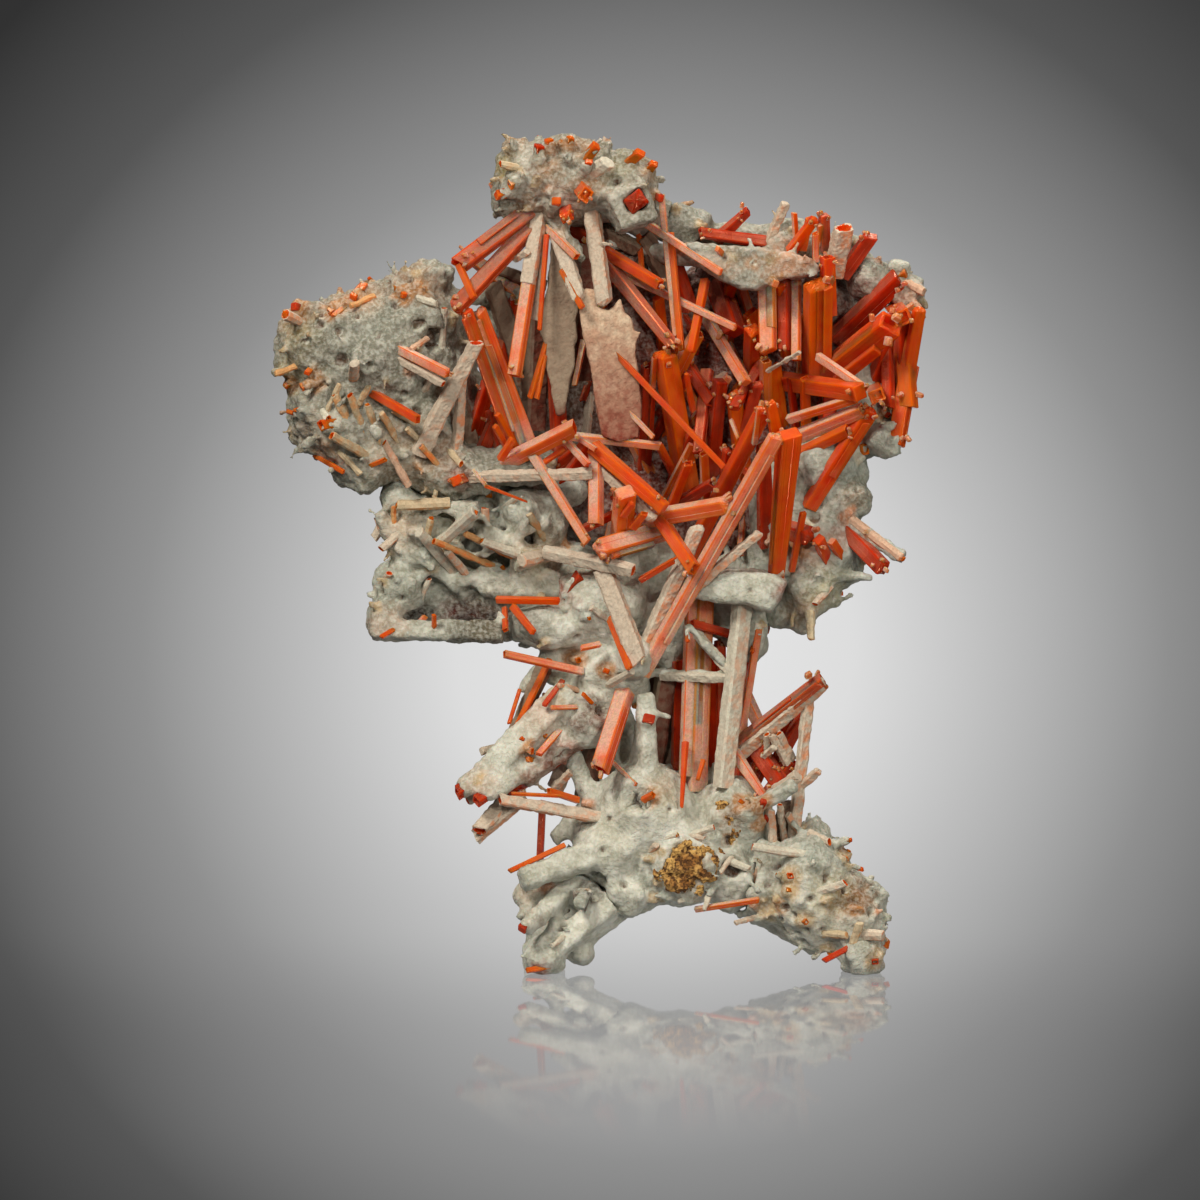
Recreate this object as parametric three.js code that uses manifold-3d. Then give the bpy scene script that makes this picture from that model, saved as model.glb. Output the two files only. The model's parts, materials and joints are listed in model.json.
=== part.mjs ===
// A hand specimen of crocoite: long four-sided orange crystals, bare or coated with pale
// gibbsite, growing from a branching gibbsite crust that stands on two feet.
// Millimetres, +Z up, -Y to the front. The origin is on the resting surface, midway in X and Y.

import * as THREE from 'three';
import { mergeVertices } from 'three/addons/utils/BufferGeometryUtils.js';
import Module from 'manifold-3d';

const wasm = await Module();
wasm.setup();

// Driving dimensions
const GAP = 0.3; // between a crystal and its socket, and between two pieces of the crust
const COARSE_SWELL = 1.12; // makes up for the flat faces of a lump that isn't marked fine
const LUMP_RELIEF = 0.16; // how far a lump's corners stand in or out, as a share of its radius
const PRISM_DEPTH = 0.85; // thickness of a crystal, as a share of its width
const PRISM_ROLL = 27; // turn of a crystal about its length, in degrees
const BLADE_DEPTH = 0.42; // thickness of a flat blade, as a share of its width
const TIP_SLANT = 0.45; // steepest slant of a crystal's end
const ROD_SIDE = 0.82; // side of a coated rod, as a share of its width across
const ROD_ROLL = 18;
const ROD_TAPER = 0.86;
const MIDDLE_DEPTH = 7.1; // from the line that the tables' depths are counted from to the middle
const GROUND = [400, 400, 60]; // the block below the resting surface that cuts the feet flat
const MIN_SHARED = 0.001; // mm³ that two crystals share when they have grown into each other

const FINISHES = {
  crust: { color: 0xc4c3b2, roughness: 0.9, metalness: 0 },
  ochre: { color: 0x9a6a2c, roughness: 0.95, metalness: 0 },
  coated: { color: 0xd9cfc4, roughness: 0.8, metalness: 0 },
  dusted: { color: 0xd98c74, roughness: 0.55, metalness: 0 },
  bare: { color: 0xd2491a, roughness: 0.25, metalness: 0 },
  deep: { color: 0x8f2413, roughness: 0.25, metalness: 0 },
};

// The crust, piece by piece. A lump is [x, y, z, radius x, radius y, radius z, 'fine'] and a rod
// is [root, tip, width]. A slab is [outline of x, z pairs, front y, back y].
const CRUST = {
  base: {
    lumps: [
      [9, 1, 32, 11, 11, 11, 'fine'],
      [17, 0, 22, 10, 11, 10],
      [2, 0, 25, 8, 9, 8],
      [6, 2, 16, 6, 9, 6],
      [27, 2, 31, 8, 9, 9],
      [26, 1, 19, 7, 9, 7.5],
      [14, 10, 30, 11, 9, 12],
    ],
    rods: [
      [[10, -3, 34], [9, -4, 56], 5],
      [[1, -4, 24.5], [-16, -9, 18.8], 6.6],
      [[22, 8, 34], [17, 10, 60], 7],
      [[6, 8, 34], [2, 8, 60], 8],
      [[27, -5, 31], [39, -9, 38], 4.4],
      [[8, 14, 28], [-2, 21, 38], 4],
    ],
  },
  left_foot: {
    lumps: [
      [-11.2, -4, 3.2, 4.6, 7, 4.8],
      [-11, 15, 3.6, 4.4, 7.5, 5.4],
      [-4, 3, 17, 5, 8, 5],
    ],
    rods: [
      [[7, -2, 17.5], [-12.5, -6, 2.5], 6.6],
      [[5, 6, 20], [-11, 17, 4], 7.5],
      [[-7, -3, 17], [-11, -5, 4], 3.5],
      [[-8, -4, 15.5], [-15, -13, 9.4], 4.6],
      [[-1, 0, 18], [-4, -9, 14.3], 3.6],
    ],
  },
  right_foot: {
    lumps: [
      [34, 0, 17, 8, 9, 8.5],
      [42, -2, 16, 9, 10, 12.5, 'fine'],
      [50, -1, 11.5, 7.5, 10, 9.5],
      [52.2, 11, 5, 4.6, 8, 7],
      [51.8, -5, 4.4, 4.6, 6.6, 6],
      [40, 9, 18, 8, 8, 9],
      [43, 3, 26, 4, 6, 5],
    ],
    rods: [
      [[33, -5, 11], [27, -9, 10.8], 2],
      [[42, -2, 24], [49.7, -5, 26.8], 2.2],
      [[31, -3, 26], [41, -8, 24], 3],
      [[38, 10, 22], [44, 18, 30], 3.4],
    ],
  },
  waist: {
    lumps: [
      [1, 4, 73, 9.5, 9, 9],
      [2, 5, 60, 9, 8, 9],
      [-10, 3, 69, 9, 7, 5],
      [-2, 1, 50, 6, 6, 6],
      [14, 10, 70, 8, 7, 12],
      [26, 10, 74, 7, 6, 10],
      [7, -3, 63, 4, 5, 5],
      [30.5, 7, 68, 3.4, 6, 7],
    ],
    rods: [
      [[-6, 0, 56], [-25, -6, 37.2], 7.4],
      [[-2, 1, 50], [-16, -3, 39], 7.5],
      [[7, 2, 60], [27, -2, 59.2], 2.8],
      [[27, -2, 59], [17, -6, 70], 2.2],
      [[2, 10, 66], [-8, 22, 58], 4.5],
      [[20, 14, 72], [28, 25, 64], 4],
    ],
    slabs: [[[[18, 75], [24, 80.5], [30, 80.5], [35, 79.5], [37.6, 78.2], [34, 71.8], [30, 73.4], [24, 74]], -9, 4]],
  },
  left_lattice: {
    lumps: [
      [-37, 5, 88, 6, 6, 7.5],
      [-40, 4, 77, 5.5, 6, 6.5],
      [-43, 2, 70.5, 4, 5, 4.5],
      [-31, 9, 78, 9, 5, 10],
      [-17, 10, 79, 10, 5, 9],
      [-16, 5, 92, 5, 6, 5],
    ],
    rods: [
      [[-19, -1, 68], [-46, -1, 68.2], 5.6],
      [[-27, 6, 75], [-37.5, -3, 88.5], 3.4],
      [[-19, 6, 80], [-33, -5, 86.5], 2.2],
      [[-40, 2, 92.6], [-24, -2, 93.2], 3.6],
      [[-31, 3, 84.5], [-24.5, -7, 92.5], 3.6],
      [[-21, 2, 86], [-23.5, -4, 91.5], 2.4],
      [[-16, 4, 83], [-25, -1, 87], 3],
      [[-8, 8, 84], [-17, -2, 81.8], 4.8],
      [[-41, 2, 84], [-44, -1, 92], 3.2],
      [[-19, 6, 66], [-13, -2, 79.5], 2.6],
      [[-30, 12, 80], [-38, 22, 88], 4],
    ],
  },
  left_lobe: {
    lumps: [
      [-45, 5, 123, 18, 12, 15, 'fine'],
      [-56, 3, 125, 9, 9, 9],
      [-38, 6, 130, 12, 11, 10.5],
      [-51, 4, 111, 12, 10, 11],
      [-38, 6, 109, 12, 11, 12],
      [-47, 3, 101.5, 7.5, 7, 6.5],
      [-32, 8, 118, 8, 9, 14],
      [-29, 4, 100, 10, 7, 6.5],
      [-17, 4, 101, 8, 7, 5],
    ],
    rods: [
      [[-58, 1, 130], [-63, -4, 131.4], 3],
      [[-56, 1, 132], [-60.8, -3, 133.6], 2.6],
      [[-59, 2, 121], [-65.2, -1, 119.4], 2.8],
      [[-48, 4, 134], [-47.2, 2, 138], 2.6],
      [[-33, 6, 136], [-29.5, 3, 140.5], 3],
      [[-49.5, -2, 116], [-51.8, -10, 113], 2.2],
      [[-43, -2, 113], [-44.8, -10, 108.5], 2],
      [[-47, -1, 104], [-53, -8, 107], 2.4],
      [[-55, 0, 110], [-59.4, -6, 112.4], 2.6],
      [[-54, 2, 106], [-60.4, 0, 104], 2.6],
      [[-45, 1, 98], [-46.6, -2, 95.4], 2],
      [[-40, 0, 101], [-38, -7, 97.5], 2],
      [[-48, -4, 124], [-48.7, -10, 121.5], 2.6],
      [[-30, 6, 134], [-15, 6, 135], 3.8],
      [[-45, 14, 120], [-53, 23, 130], 4],
      [[-36, 15, 112], [-30, 25, 104], 4.4],
    ],
  },
  back_wall: {
    lumps: [
      [9, 19, 128, 14, 5.5, 15],
      [28, 20, 130, 14, 6, 15],
      [44, 17, 126, 12, 6.5, 15],
      [15, 20, 107, 16, 6.5, 15],
      [36, 19, 106, 14, 7, 15],
      [-8, 18, 113, 13, 5.5, 12],
      [5, 17, 91, 14, 7, 11],
      [24, 17, 89, 12, 7, 11],
    ],
    rods: [
      [[7, 17, 136], [5, 6, 144], 8],
      [[12, 22, 118], [20, 31, 132], 5],
      [[34, 22, 112], [26, 33, 104], 5.5],
      [[24, 22, 94], [34, 32, 90], 4.5],
      [[44, 20, 122], [53, 28, 130], 4.5],
    ],
  },
  right_lobe: {
    lumps: [
      [45.6, 7, 101, 7.6, 9, 9.4],
      [45, 6, 84, 8, 8, 10],
      [42, 6, 77, 6.5, 7, 6.5],
      [56.5, 5, 106, 4.5, 6, 4],
      [52, 10, 113, 8, 7, 12],
      [37, 8, 92, 8, 7, 11],
    ],
    rods: [
      [[42, 2, 76], [42, 0, 66.3], 2.6],
      [[46, 3, 78.5], [54.3, -1, 79], 2.6],
      [[46, 3, 92], [60.3, -4, 82.5], 3.6],
      [[55, 3, 104], [59.5, -1, 103.6], 3],
      [[46, 12, 88], [52, 22, 80], 4],
    ],
  },
  ridge: {
    lumps: [
      [16, 10, 149, 7, 6, 4.2],
      [27, 13, 146, 8, 6, 4.2],
      [38, 11, 146, 8, 6, 4.5],
      [48, 11, 143, 6, 6, 5],
      [54, 9, 138, 5, 6, 5],
      [60.5, 7, 136, 5, 5.5, 4.2],
    ],
    rods: [
      [[60, 6, 136], [65.2, 3, 136], 3],
      [[48, 7, 144], [49, 4, 149], 3.4],
    ],
    slabs: [[[[17, 145.5], [25, 144.8], [32, 144.4], [38, 143.4], [43.5, 141], [43.5, 138.8], [36, 138.2],
      [31, 136], [28, 136.2], [24, 137.8], [20, 140.5]], -6, 7]],
  },
  top_knob: {
    lumps: [
      [-5, 2, 157, 13.5, 10, 8.5, 'fine'],
      [-13.5, 1, 158, 8, 9, 7.5],
      [5, 2, 158, 7, 8.5, 6.5],
      [-6, 3, 162.6, 8.5, 7, 4.6],
      [-18, 1, 153.5, 4, 5, 4.2],
      [-16.6, 1, 163.2, 3.4, 4, 3.4],
      [8, 7, 151, 8, 6, 5],
    ],
    rods: [
      [[6, -2, 152.5], [6.5, -11, 152.5], 11],
      [[-10, 1, 152], [-3.5, -6, 141.8], 3.5],
      [[-17, -2, 156], [-21, -6, 154.6], 3.4],
      [[3, 7, 158], [8, 16, 163], 4],
    ],
  },
};

// The rusty filling of the pocket in the base: a lump set in the front of the crust
const POCKET = { hollow: [16.8, -11, 21.2, 4.4, 6, 5.2], filling: [16.8, -4.6, 21.2, 7, 5.4, 7] };

// Crystals: [name, root, tip, width, finish, width at the tip as a share of that, 'blade']
const CRYSTALS = [
  // below and on the top knob
  ['knob_leg', [-2.4, -2, 157], [1, -6.4, 133], 3.8, 'coated', 1],
  ['left_spray_upper', [-14, -1, 152.6], [-28, -7, 142.2], 4.5, 'dusted', 1],
  ['left_spray_lower', [-12, 0, 150.4], [-29, -9, 132], 4, 'dusted', 1],
  ['hanging_left', [-12, -1, 151.5], [-17, -9, 119], 3.4, 'dusted', 1],
  ['hanging_blade', [-7.2, 1, 148.5], [-8, -3, 111.5], 6, 'coated', 0.4, 'blade'],
  ['hanging_lavender', [-8.4, -2, 147], [-4, -7.5, 134], 3.8, 'coated', 0.9],
  ['centre_blade', [1.2, -4, 136], [4, -4, 106.8], 9.6, 'coated', 0.86, 'blade'],
  // upper right, behind and below the beam
  ['upper_pink', [12.2, -1, 155], [15, -3, 126.8], 1.5, 'dusted', 0.8],
  ['upper_orange', [13.9, -1, 147.4], [16.2, -4, 124], 1.9, 'bare', 0.8],
  ['upper_cross', [6, 2, 151.4], [24, -8, 139.5], 2, 'dusted', 0.9],
  ['middle_cross', [4, 5, 139.4], [27, -6, 128.5], 1.9, 'dusted', 0.9],
  ['middle_orange', [21, 3, 138], [18, -6, 123.6], 2.3, 'bare', 0.9],
  ['middle_glint', [20.6, 15, 131.6], [29, -3, 117.5], 2.8, 'dusted', 1],
  ['middle_deep', [23.6, 16, 137], [27, 6, 127.5], 6, 'deep', 0.9],
  ['left_of_blade', [0.8, 5, 143.8], [12, -4, 137], 3, 'bare', 0.9],
  ['brown_cross', [1, 5, 141.8], [14.5, -5, 125], 3.7, 'bare', 0.8],
  ['beam_pink', [33.2, 2, 140], [33.5, -2, 123.7], 4.3, 'dusted', 0.9],
  ['beam_red', [36.7, 3, 140], [36.7, -1, 124], 3.2, 'deep', 0.9],
  ['beam_narrow', [39.2, 3, 141], [39, -2, 122], 2.3, 'dusted', 1],
  ['beam_big', [43, 8, 119], [43, -5, 137.8], 5.7, 'bare', 1],
  ['crest_orange', [38, 5, 143.6], [43, 1, 150.4], 2.9, 'bare', 0.8],
  ['crest_tan', [33.2, 8, 144.6], [37, 4, 153.3], 2.3, 'coated', 0.9],
  ['crest_coated', [46.4, 4, 139], [48.5, -1, 148.4], 4.8, 'coated', 0.95],
  ['crest_deep', [48.4, 5, 139], [54, 0, 146.8], 3.6, 'deep', 0.9],
  ['crest_red', [45.6, 0, 131], [45.2, -4, 142.6], 3.6, 'bare', 0.95],
  ['crest_left', [23.4, 8, 146], [29.6, 3, 151.8], 3.2, 'deep', 0.7],
  ['crest_lying', [34, 8, 145.4], [20, 3, 147.4], 3, 'deep', 0.8],
  ['block_red', [30.5, 15, 120.6], [30.5, -1, 128.3], 4.2, 'bare', 1],
  // the middle
  ['tower', [18, 16, 94], [12.8, -1, 123.8], 5.5, 'bare', 1],
  ['tower_left', [8.4, 16, 98], [9.6, 1.6, 121], 4, 'deep', 0.8],
  ['tower_right', [22, 16, 98], [24, 3, 118], 4.2, 'deep', 0.8],
  ['tower_far', [29, 16, 98], [26.6, 4, 115.6], 3.8, 'bare', 0.9],
  ['long_needle', [2.2, -5, 124.4], [24.5, -14, 101], 1.5, 'bare', 0.9],
  ['blade_needle', [-9.6, -1, 129], [-14, -6, 114.5], 1.4, 'bare', 0.9],
  ['crossing_pink', [-6, -2, 107], [12, -6, 105], 2.2, 'dusted', 0.9],
  // left of the middle
  ['fan_orange', [-16.6, 1, 103.5], [-26.5, -9, 132], 3, 'bare', 0.9],
  ['fan_pink', [-14, 2, 103.5], [-24, -7, 132.5], 4.5, 'dusted', 0.6],
  ['fan_low', [-13.8, -4, 104], [-2.5, -9, 86], 2.4, 'dusted', 0.9],
  ['fan_white', [-36, -2, 103.6], [-24.5, -10, 125.6], 4.5, 'coated', 0.7],
  ['fan_white_thin', [-28.6, 1, 101.5], [-27.4, -6, 119.2], 2.8, 'coated', 0.9],
  ['elbow', [-19, -1, 101.6], [-5, -10, 108.8], 4, 'dusted', 1],
  ['long_rod', [-26, -1, 98.8], [-1.4, -7, 99.6], 3, 'coated', 0.9],
  // the lower middle, where the crystals cross
  ['cross_upright', [-0.8, -4, 105], [-0.8, -9, 89.5], 3.5, 'dusted', 1],
  ['cross_orange', [-1.4, -6, 105], [12.8, -13, 92.8], 3.7, 'bare', 0.9],
  ['cross_pale', [0.2, -5, 100.4], [10.6, -9, 90.4], 2.6, 'coated', 1],
  ['cross_prism', [4, 0, 84], [5, -12, 96.2], 5, 'dusted', 1],
  ['cross_box', [14, 2, 88.4], [-0.6, -11, 84.6], 4.8, 'dusted', 1],
  ['cross_right', [8, -1, 90.2], [25.4, -14, 93.6], 4.1, 'dusted', 1],
  ['cross_bright', [12, -5, 90.4], [18.6, -14, 80.8], 3.2, 'bare', 1],
  ['cross_rod', [-11, -1, 83.8], [6.6, -9, 80.4], 3.5, 'coated', 1],
  ['longest', [8.4, -3, 59.6], [35, -19, 107.6], 3.6, 'dusted', 1],
  ['longest_coat', [8, -2, 62], [19.6, -9.4, 89.4], 4.2, 'coated', 0.8],
  ['longest_twin', [17, 13, 81], [32.6, -13, 112.6], 3.9, 'bare', 1],
  ['splinter', [18.6, -8.6, 76.8], [31.6, -12, 88], 2.5, 'coated', 0.8],
  // right
  ['right_deep', [47, 10, 126], [59.6, 2, 138.4], 5, 'deep', 1],
  ['right_big', [46, 8, 119.6], [57.8, -7, 129.4], 6.5, 'bare', 1],
  ['right_outer', [60, 6, 134], [61.6, 1, 112.6], 4.2, 'bare', 1],
  ['right_outer_low', [62, 4, 121], [59.4, 0, 104.4], 4.8, 'bare', 0.9],
  ['right_ring', [59, 6, 132], [60, -6, 130.4], 4.8, 'bare', 1],
  ['right_inner', [57.4, 6, 128], [57.5, 1, 112.6], 3, 'deep', 1],
  ['right_level', [36, 13, 117.8], [51.6, -11, 115.8], 4.5, 'bare', 1],
  ['right_pale', [43.4, 0, 122.8], [52.6, -10, 116.4], 2.2, 'dusted', 1],
  ['right_small_ring', [54.6, 8, 116.4], [55, -6, 115], 4, 'bare', 1],
  ['right_pink', [40, 4, 107], [52.2, -7, 112.2], 3.5, 'dusted', 1],
  ['right_hollow', [39.6, 4, 103.2], [49.2, -5.4, 108.2], 3, 'bare', 1],
  ['right_long', [41.6, 2, 92.8], [54, -6, 112.6], 4, 'bare', 1],
  ['pillar', [34.8, 0, 76], [37.4, -16.6, 107.8], 3.4, 'bare', 1.7],
  ['pillar_deep', [33.2, 6, 85], [32.4, -6, 105.4], 3.8, 'deep', 0.8],
  ['pillar_cap', [35.6, -9, 104], [33.6, -16, 114], 3, 'bare', 0.8],
  ['low_end', [35.6, 4, 88.6], [42, -4, 87], 4.6, 'deep', 1],
  ['low_v', [46.4, 4, 79.4], [43.4, -5, 86.6], 2.8, 'bare', 1],
  ['low_cluster', [48.6, 2, 88.6], [56.6, -6, 80.4], 4, 'deep', 1],
  // the waist
  ['column_white', [24.6, -3, 37], [29, -3, 75.6], 3.8, 'coated', 1],
  ['column_thin', [28.2, 3, 47], [31.6, 2, 68.6], 1.8, 'dusted', 1],
  ['column_striped', [19, 2, 36], [20.4, 2, 77], 5.5, 'dusted', 1],
  ['branch', [25.6, 3, 41.6], [44.6, -5, 58.2], 4, 'coated', 1],
  ['branch_upright', [38.2, 2, 23], [42.6, -3, 55.4], 3.5, 'coated', 0.9],
  ['trunk_lavender', [0.6, -4.6, 80.6], [7.8, -7, 62], 4.5, 'coated', 1],
  ['trunk_ring', [5, -1, 56], [0, -11, 41], 4.6, 'dusted', 1],
  ['band_long', [-10, 1, 62.4], [-16.6, -4, 49], 1.6, 'bare', 1],
  ['low_left_rod', [3, -3, 30.4], [-20, -9, 35], 3, 'coated', 0.9],
  ['low_left_stub', [-15, -5, 35.4], [-24.6, -4, 27], 3.3, 'coated', 1],
  ['low_left_thin', [-11.4, -6.4, 34.4], [-12, 0, 22], 1.6, 'deep', 1],
  // on the left lobe
  ['lobe_pink', [-43.4, -2, 126], [-30, -13, 119.5], 2.4, 'dusted', 1],
  // on the back
  ['back_upper', [14, 21, 126], [24, 31, 146], 4, 'dusted', 0.9],
  ['back_right', [38, 21, 118], [50, 32, 112], 4.4, 'bare', 0.9],
  ['back_middle', [18, 22, 106], [8, 33, 92], 4.4, 'dusted', 0.9],
  ['back_left', [-40, 13, 124], [-32, 25, 134], 3.8, 'dusted', 0.9],
];

// Crystals set in the crust, which show at the broken ends of coated rods
const CORES = [
  ['knob_core', [6.9, -4, 153.4], [7.1, -12, 153.6], 5, 'deep', 1],
  ['band_end', [-17, -1, 44], [-28.4, -9, 36.2], 3.4, 'deep', 1],
  ['band_end_low', [-15, -2, 41], [-24.6, -10, 34.6], 3, 'deep', 1],
];

const vector = (p) => new THREE.Vector3(...p);

// A repeatable number from 0 to 1 for a point and a seed
function scatter(x, y, z, seed) {
  const wave = Math.sin(x * 12.9898 + y * 78.233 + z * 37.719 + seed * 4.1414) * 43758.5453;
  return wave - Math.floor(wave);
}

function mergedGeometry(geometry) {
  geometry.deleteAttribute('normal');
  geometry.deleteAttribute('uv');
  return mergeVertices(geometry);
}

function toSolid(geometry) {
  const { attributes, index } = mergedGeometry(geometry);
  const mesh = new wasm.Mesh({
    numProp: 3,
    vertProperties: Float32Array.from(attributes.position.array),
    triVerts: Uint32Array.from(index.array),
  });
  return new wasm.Manifold(mesh);
}

function toMesh(name, solid, finish) {
  const { vertProperties, triVerts, numProp } = solid.getMesh();
  const geometry = new THREE.BufferGeometry();
  const positions = new Float32Array(vertProperties);
  geometry.setAttribute('position', new THREE.BufferAttribute(positions, numProp));
  geometry.setIndex(new THREE.BufferAttribute(new Uint32Array(triVerts), 1));
  geometry.computeVertexNormals();
  const material = new THREE.MeshStandardMaterial({ ...FINISHES[finish], flatShading: true });
  const mesh = new THREE.Mesh(geometry, material);
  mesh.name = name;
  return mesh;
}

// Turns a shape built along +Y, centred on the origin, to lie between two points. At a roll
// of 0 its local X lies across the line as seen from the front.
function lay(geometry, from, to, roll) {
  const axis = to.clone().sub(from).normalize();
  const across = new THREE.Vector3().crossVectors(axis, new THREE.Vector3(0, 1, 0));
  if (across.length() < 0.3) across.set(1, 0, 0).addScaledVector(axis, -axis.x);
  across.normalize();
  const deep = new THREE.Vector3().crossVectors(across, axis);
  const turn = new THREE.Matrix4().makeBasis(across, axis, deep);
  geometry.rotateY(THREE.MathUtils.degToRad(roll));
  geometry.applyMatrix4(turn);
  const middle = from.clone().add(to).multiplyScalar(0.5);
  return geometry.translate(middle.x, middle.y, middle.z);
}

// A four-sided crystal with a slanted end
function crystal([name, root, tip, width, , taper, shape], grow = 0) {
  const from = vector(root);
  const to = vector(tip);
  const blade = shape === 'blade';
  const chance = scatter(name.length, width, to.z, 1) - 0.5;
  const roll = blade ? 6 : PRISM_ROLL + 20 * chance;
  const spread = Math.cos(THREE.MathUtils.degToRad(roll)) + Math.sin(THREE.MathUtils.degToRad(roll));
  const side = blade ? width : width / spread;
  const depth = side * (blade ? BLADE_DEPTH : PRISM_DEPTH);
  const length = from.distanceTo(to) + 2 * grow;
  const geometry = new THREE.BoxGeometry(side + 2 * grow, length, depth + 2 * grow);
  shapeEnd(geometry, taper, TIP_SLANT * 2 * chance);
  return toSolid(lay(geometry, from, to, roll));
}

// Narrows the upper end of an upright prism and slants it
function shapeEnd(geometry, taper, slant = 0) {
  const position = geometry.attributes.position;
  for (let i = 0; i < position.count; i++) {
    const [x, y, z] = [position.getX(i), position.getY(i), position.getZ(i)];
    if (y > 0) position.setXYZ(i, x * taper, y + slant * x, z * taper);
  }
}

function lump([x, y, z, rx, ry, rz, fine], seed, grow = 0) {
  const size = fine ? 1 : COARSE_SWELL;
  const geometry = mergedGeometry(new THREE.IcosahedronGeometry(size, fine ? 1 : 0));
  const position = geometry.attributes.position;
  for (let i = 0; i < position.count; i++) {
    const corner = new THREE.Vector3().fromBufferAttribute(position, i);
    const relief = 1 + LUMP_RELIEF * (scatter(corner.x, corner.y, corner.z, seed) - 0.5);
    position.setXYZ(i, corner.x * relief, corner.y * relief, corner.z * relief);
  }
  geometry.scale(rx + grow, ry + grow, rz + grow);
  return toSolid(geometry.translate(x, y, z));
}

// A coated crystal of the crust, a little thinner at its tip
function rod([root, tip, width], grow = 0) {
  const from = vector(root);
  const to = vector(tip);
  const side = width * ROD_SIDE + 2 * grow;
  const geometry = new THREE.BoxGeometry(side, from.distanceTo(to) + 2 * grow, side);
  shapeEnd(geometry, ROD_TAPER);
  return toSolid(lay(geometry, from, to, ROD_ROLL));
}

function slab([outline, front, back], grow = 0) {
  const shape = new THREE.Shape(outline.map(([x, z]) => new THREE.Vector2(x, z)));
  const geometry = new THREE.ExtrudeGeometry(shape, { depth: back - front, bevelEnabled: false });
  geometry.rotateX(Math.PI / 2);
  geometry.translate(0, back, 0);
  geometry.computeBoundingBox();
  const size = geometry.boundingBox.getSize(new THREE.Vector3());
  const centre = geometry.boundingBox.getCenter(new THREE.Vector3());
  geometry.translate(-centre.x, -centre.y, -centre.z);
  geometry.scale(1 + (4 * grow) / size.x, 1 + (2 * grow) / size.y, 1 + (4 * grow) / size.z);
  return toSolid(geometry.translate(centre.x, centre.y, centre.z));
}

function ground(grow) {
  const box = new THREE.BoxGeometry(...GROUND);
  return toSolid(box.translate(0, 0, grow - GROUND[2] / 2));
}

const join = (solids) => wasm.Manifold.union(solids);

// The largest body of a solid that a cut has parted
function largest(solid) {
  const bodies = solid.decompose();
  return bodies.reduce((best, body) => (body.volume() > best.volume() ? body : best));
}

function crustPiece({ lumps, rods, slabs = [] }, grow = 0) {
  return join([
    ...lumps.map((row, i) => lump(row, i, grow)),
    ...rods.map((row) => rod(row, grow)),
    ...slabs.map((row) => slab(row, grow)),
  ]);
}

// Every piece of the crust, cut back from the pieces before it, the set crystals and the ground
function crustMeshes() {
  const hollow = lump(POCKET.hollow, 0);
  const sockets = CORES.map((row) => crystal(row, GAP));
  let taken = join([...sockets, ground(0), hollow]);
  return Object.entries(CRUST).map(([name, rows]) => {
    const piece = largest(crustPiece(rows).subtract(taken));
    taken = taken.add(crustPiece(rows, GAP));
    return toMesh(`crust_${name}`, piece, 'crust');
  });
}

// Crystals that have grown into each other, gathered into groups
function crystalGroups(solids) {
  const group = solids.map((_, i) => i);
  for (let i = 0; i < solids.length; i++) {
    for (let j = 0; j < i; j++) {
      if (group[i] === group[j]) continue;
      if (solids[i].intersect(solids[j]).volume() < MIN_SHARED) continue;
      const [keep, drop] = [group[j], group[i]];
      group.forEach((g, k) => (group[k] = g === drop ? keep : g));
    }
  }
  return [...new Set(group)].map((g) => group.flatMap((value, i) => (value === g ? [i] : [])));
}

// Crystals stand on the crust, and those that cross are one solid
function crystalMeshes() {
  const crust = join(Object.values(CRUST).map((rows) => crustPiece(rows, GAP)));
  const solids = CRYSTALS.map((row) => largest(crystal(row).subtract(crust)));
  return crystalGroups(solids).map((members) => {
    const biggest = members.reduce((a, b) => (solids[b].volume() > solids[a].volume() ? b : a));
    const [name, , , , finish] = CRYSTALS[biggest];
    const kind = members.length > 1 ? 'cluster' : 'crystal';
    return toMesh(`${kind}_${name}`, join(members.map((i) => solids[i])), finish);
  });
}

const coreMeshes = () => CORES.map((row) => toMesh(`crystal_${row[0]}`, crystal(row), row[4]));

// The filling lies in the pocket's hollow, clear of its wall
function pocketFilling() {
  const shrunk = lump(POCKET.hollow, 0, -GAP);
  return toMesh('pocket_filling', shrunk.intersect(lump(POCKET.filling, 3)), 'ochre');
}

const specimen = new THREE.Group();
specimen.name = 'crocoite';
specimen.position.y = -MIDDLE_DEPTH;
specimen.add(...crustMeshes(), pocketFilling(), ...crystalMeshes(), ...coreMeshes());

export default specimen;
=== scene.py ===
"""A crocoite specimen: long orange crystals, bare, dusted or coated with pale gibbsite, that grow from a
branching gibbsite crust standing on two feet. The tables count in millimetres, +Z up, -Y to the front."""

import json
import math
import random

import bmesh
import bpy
import numpy as np
from mathutils import Matrix, Vector

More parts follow.
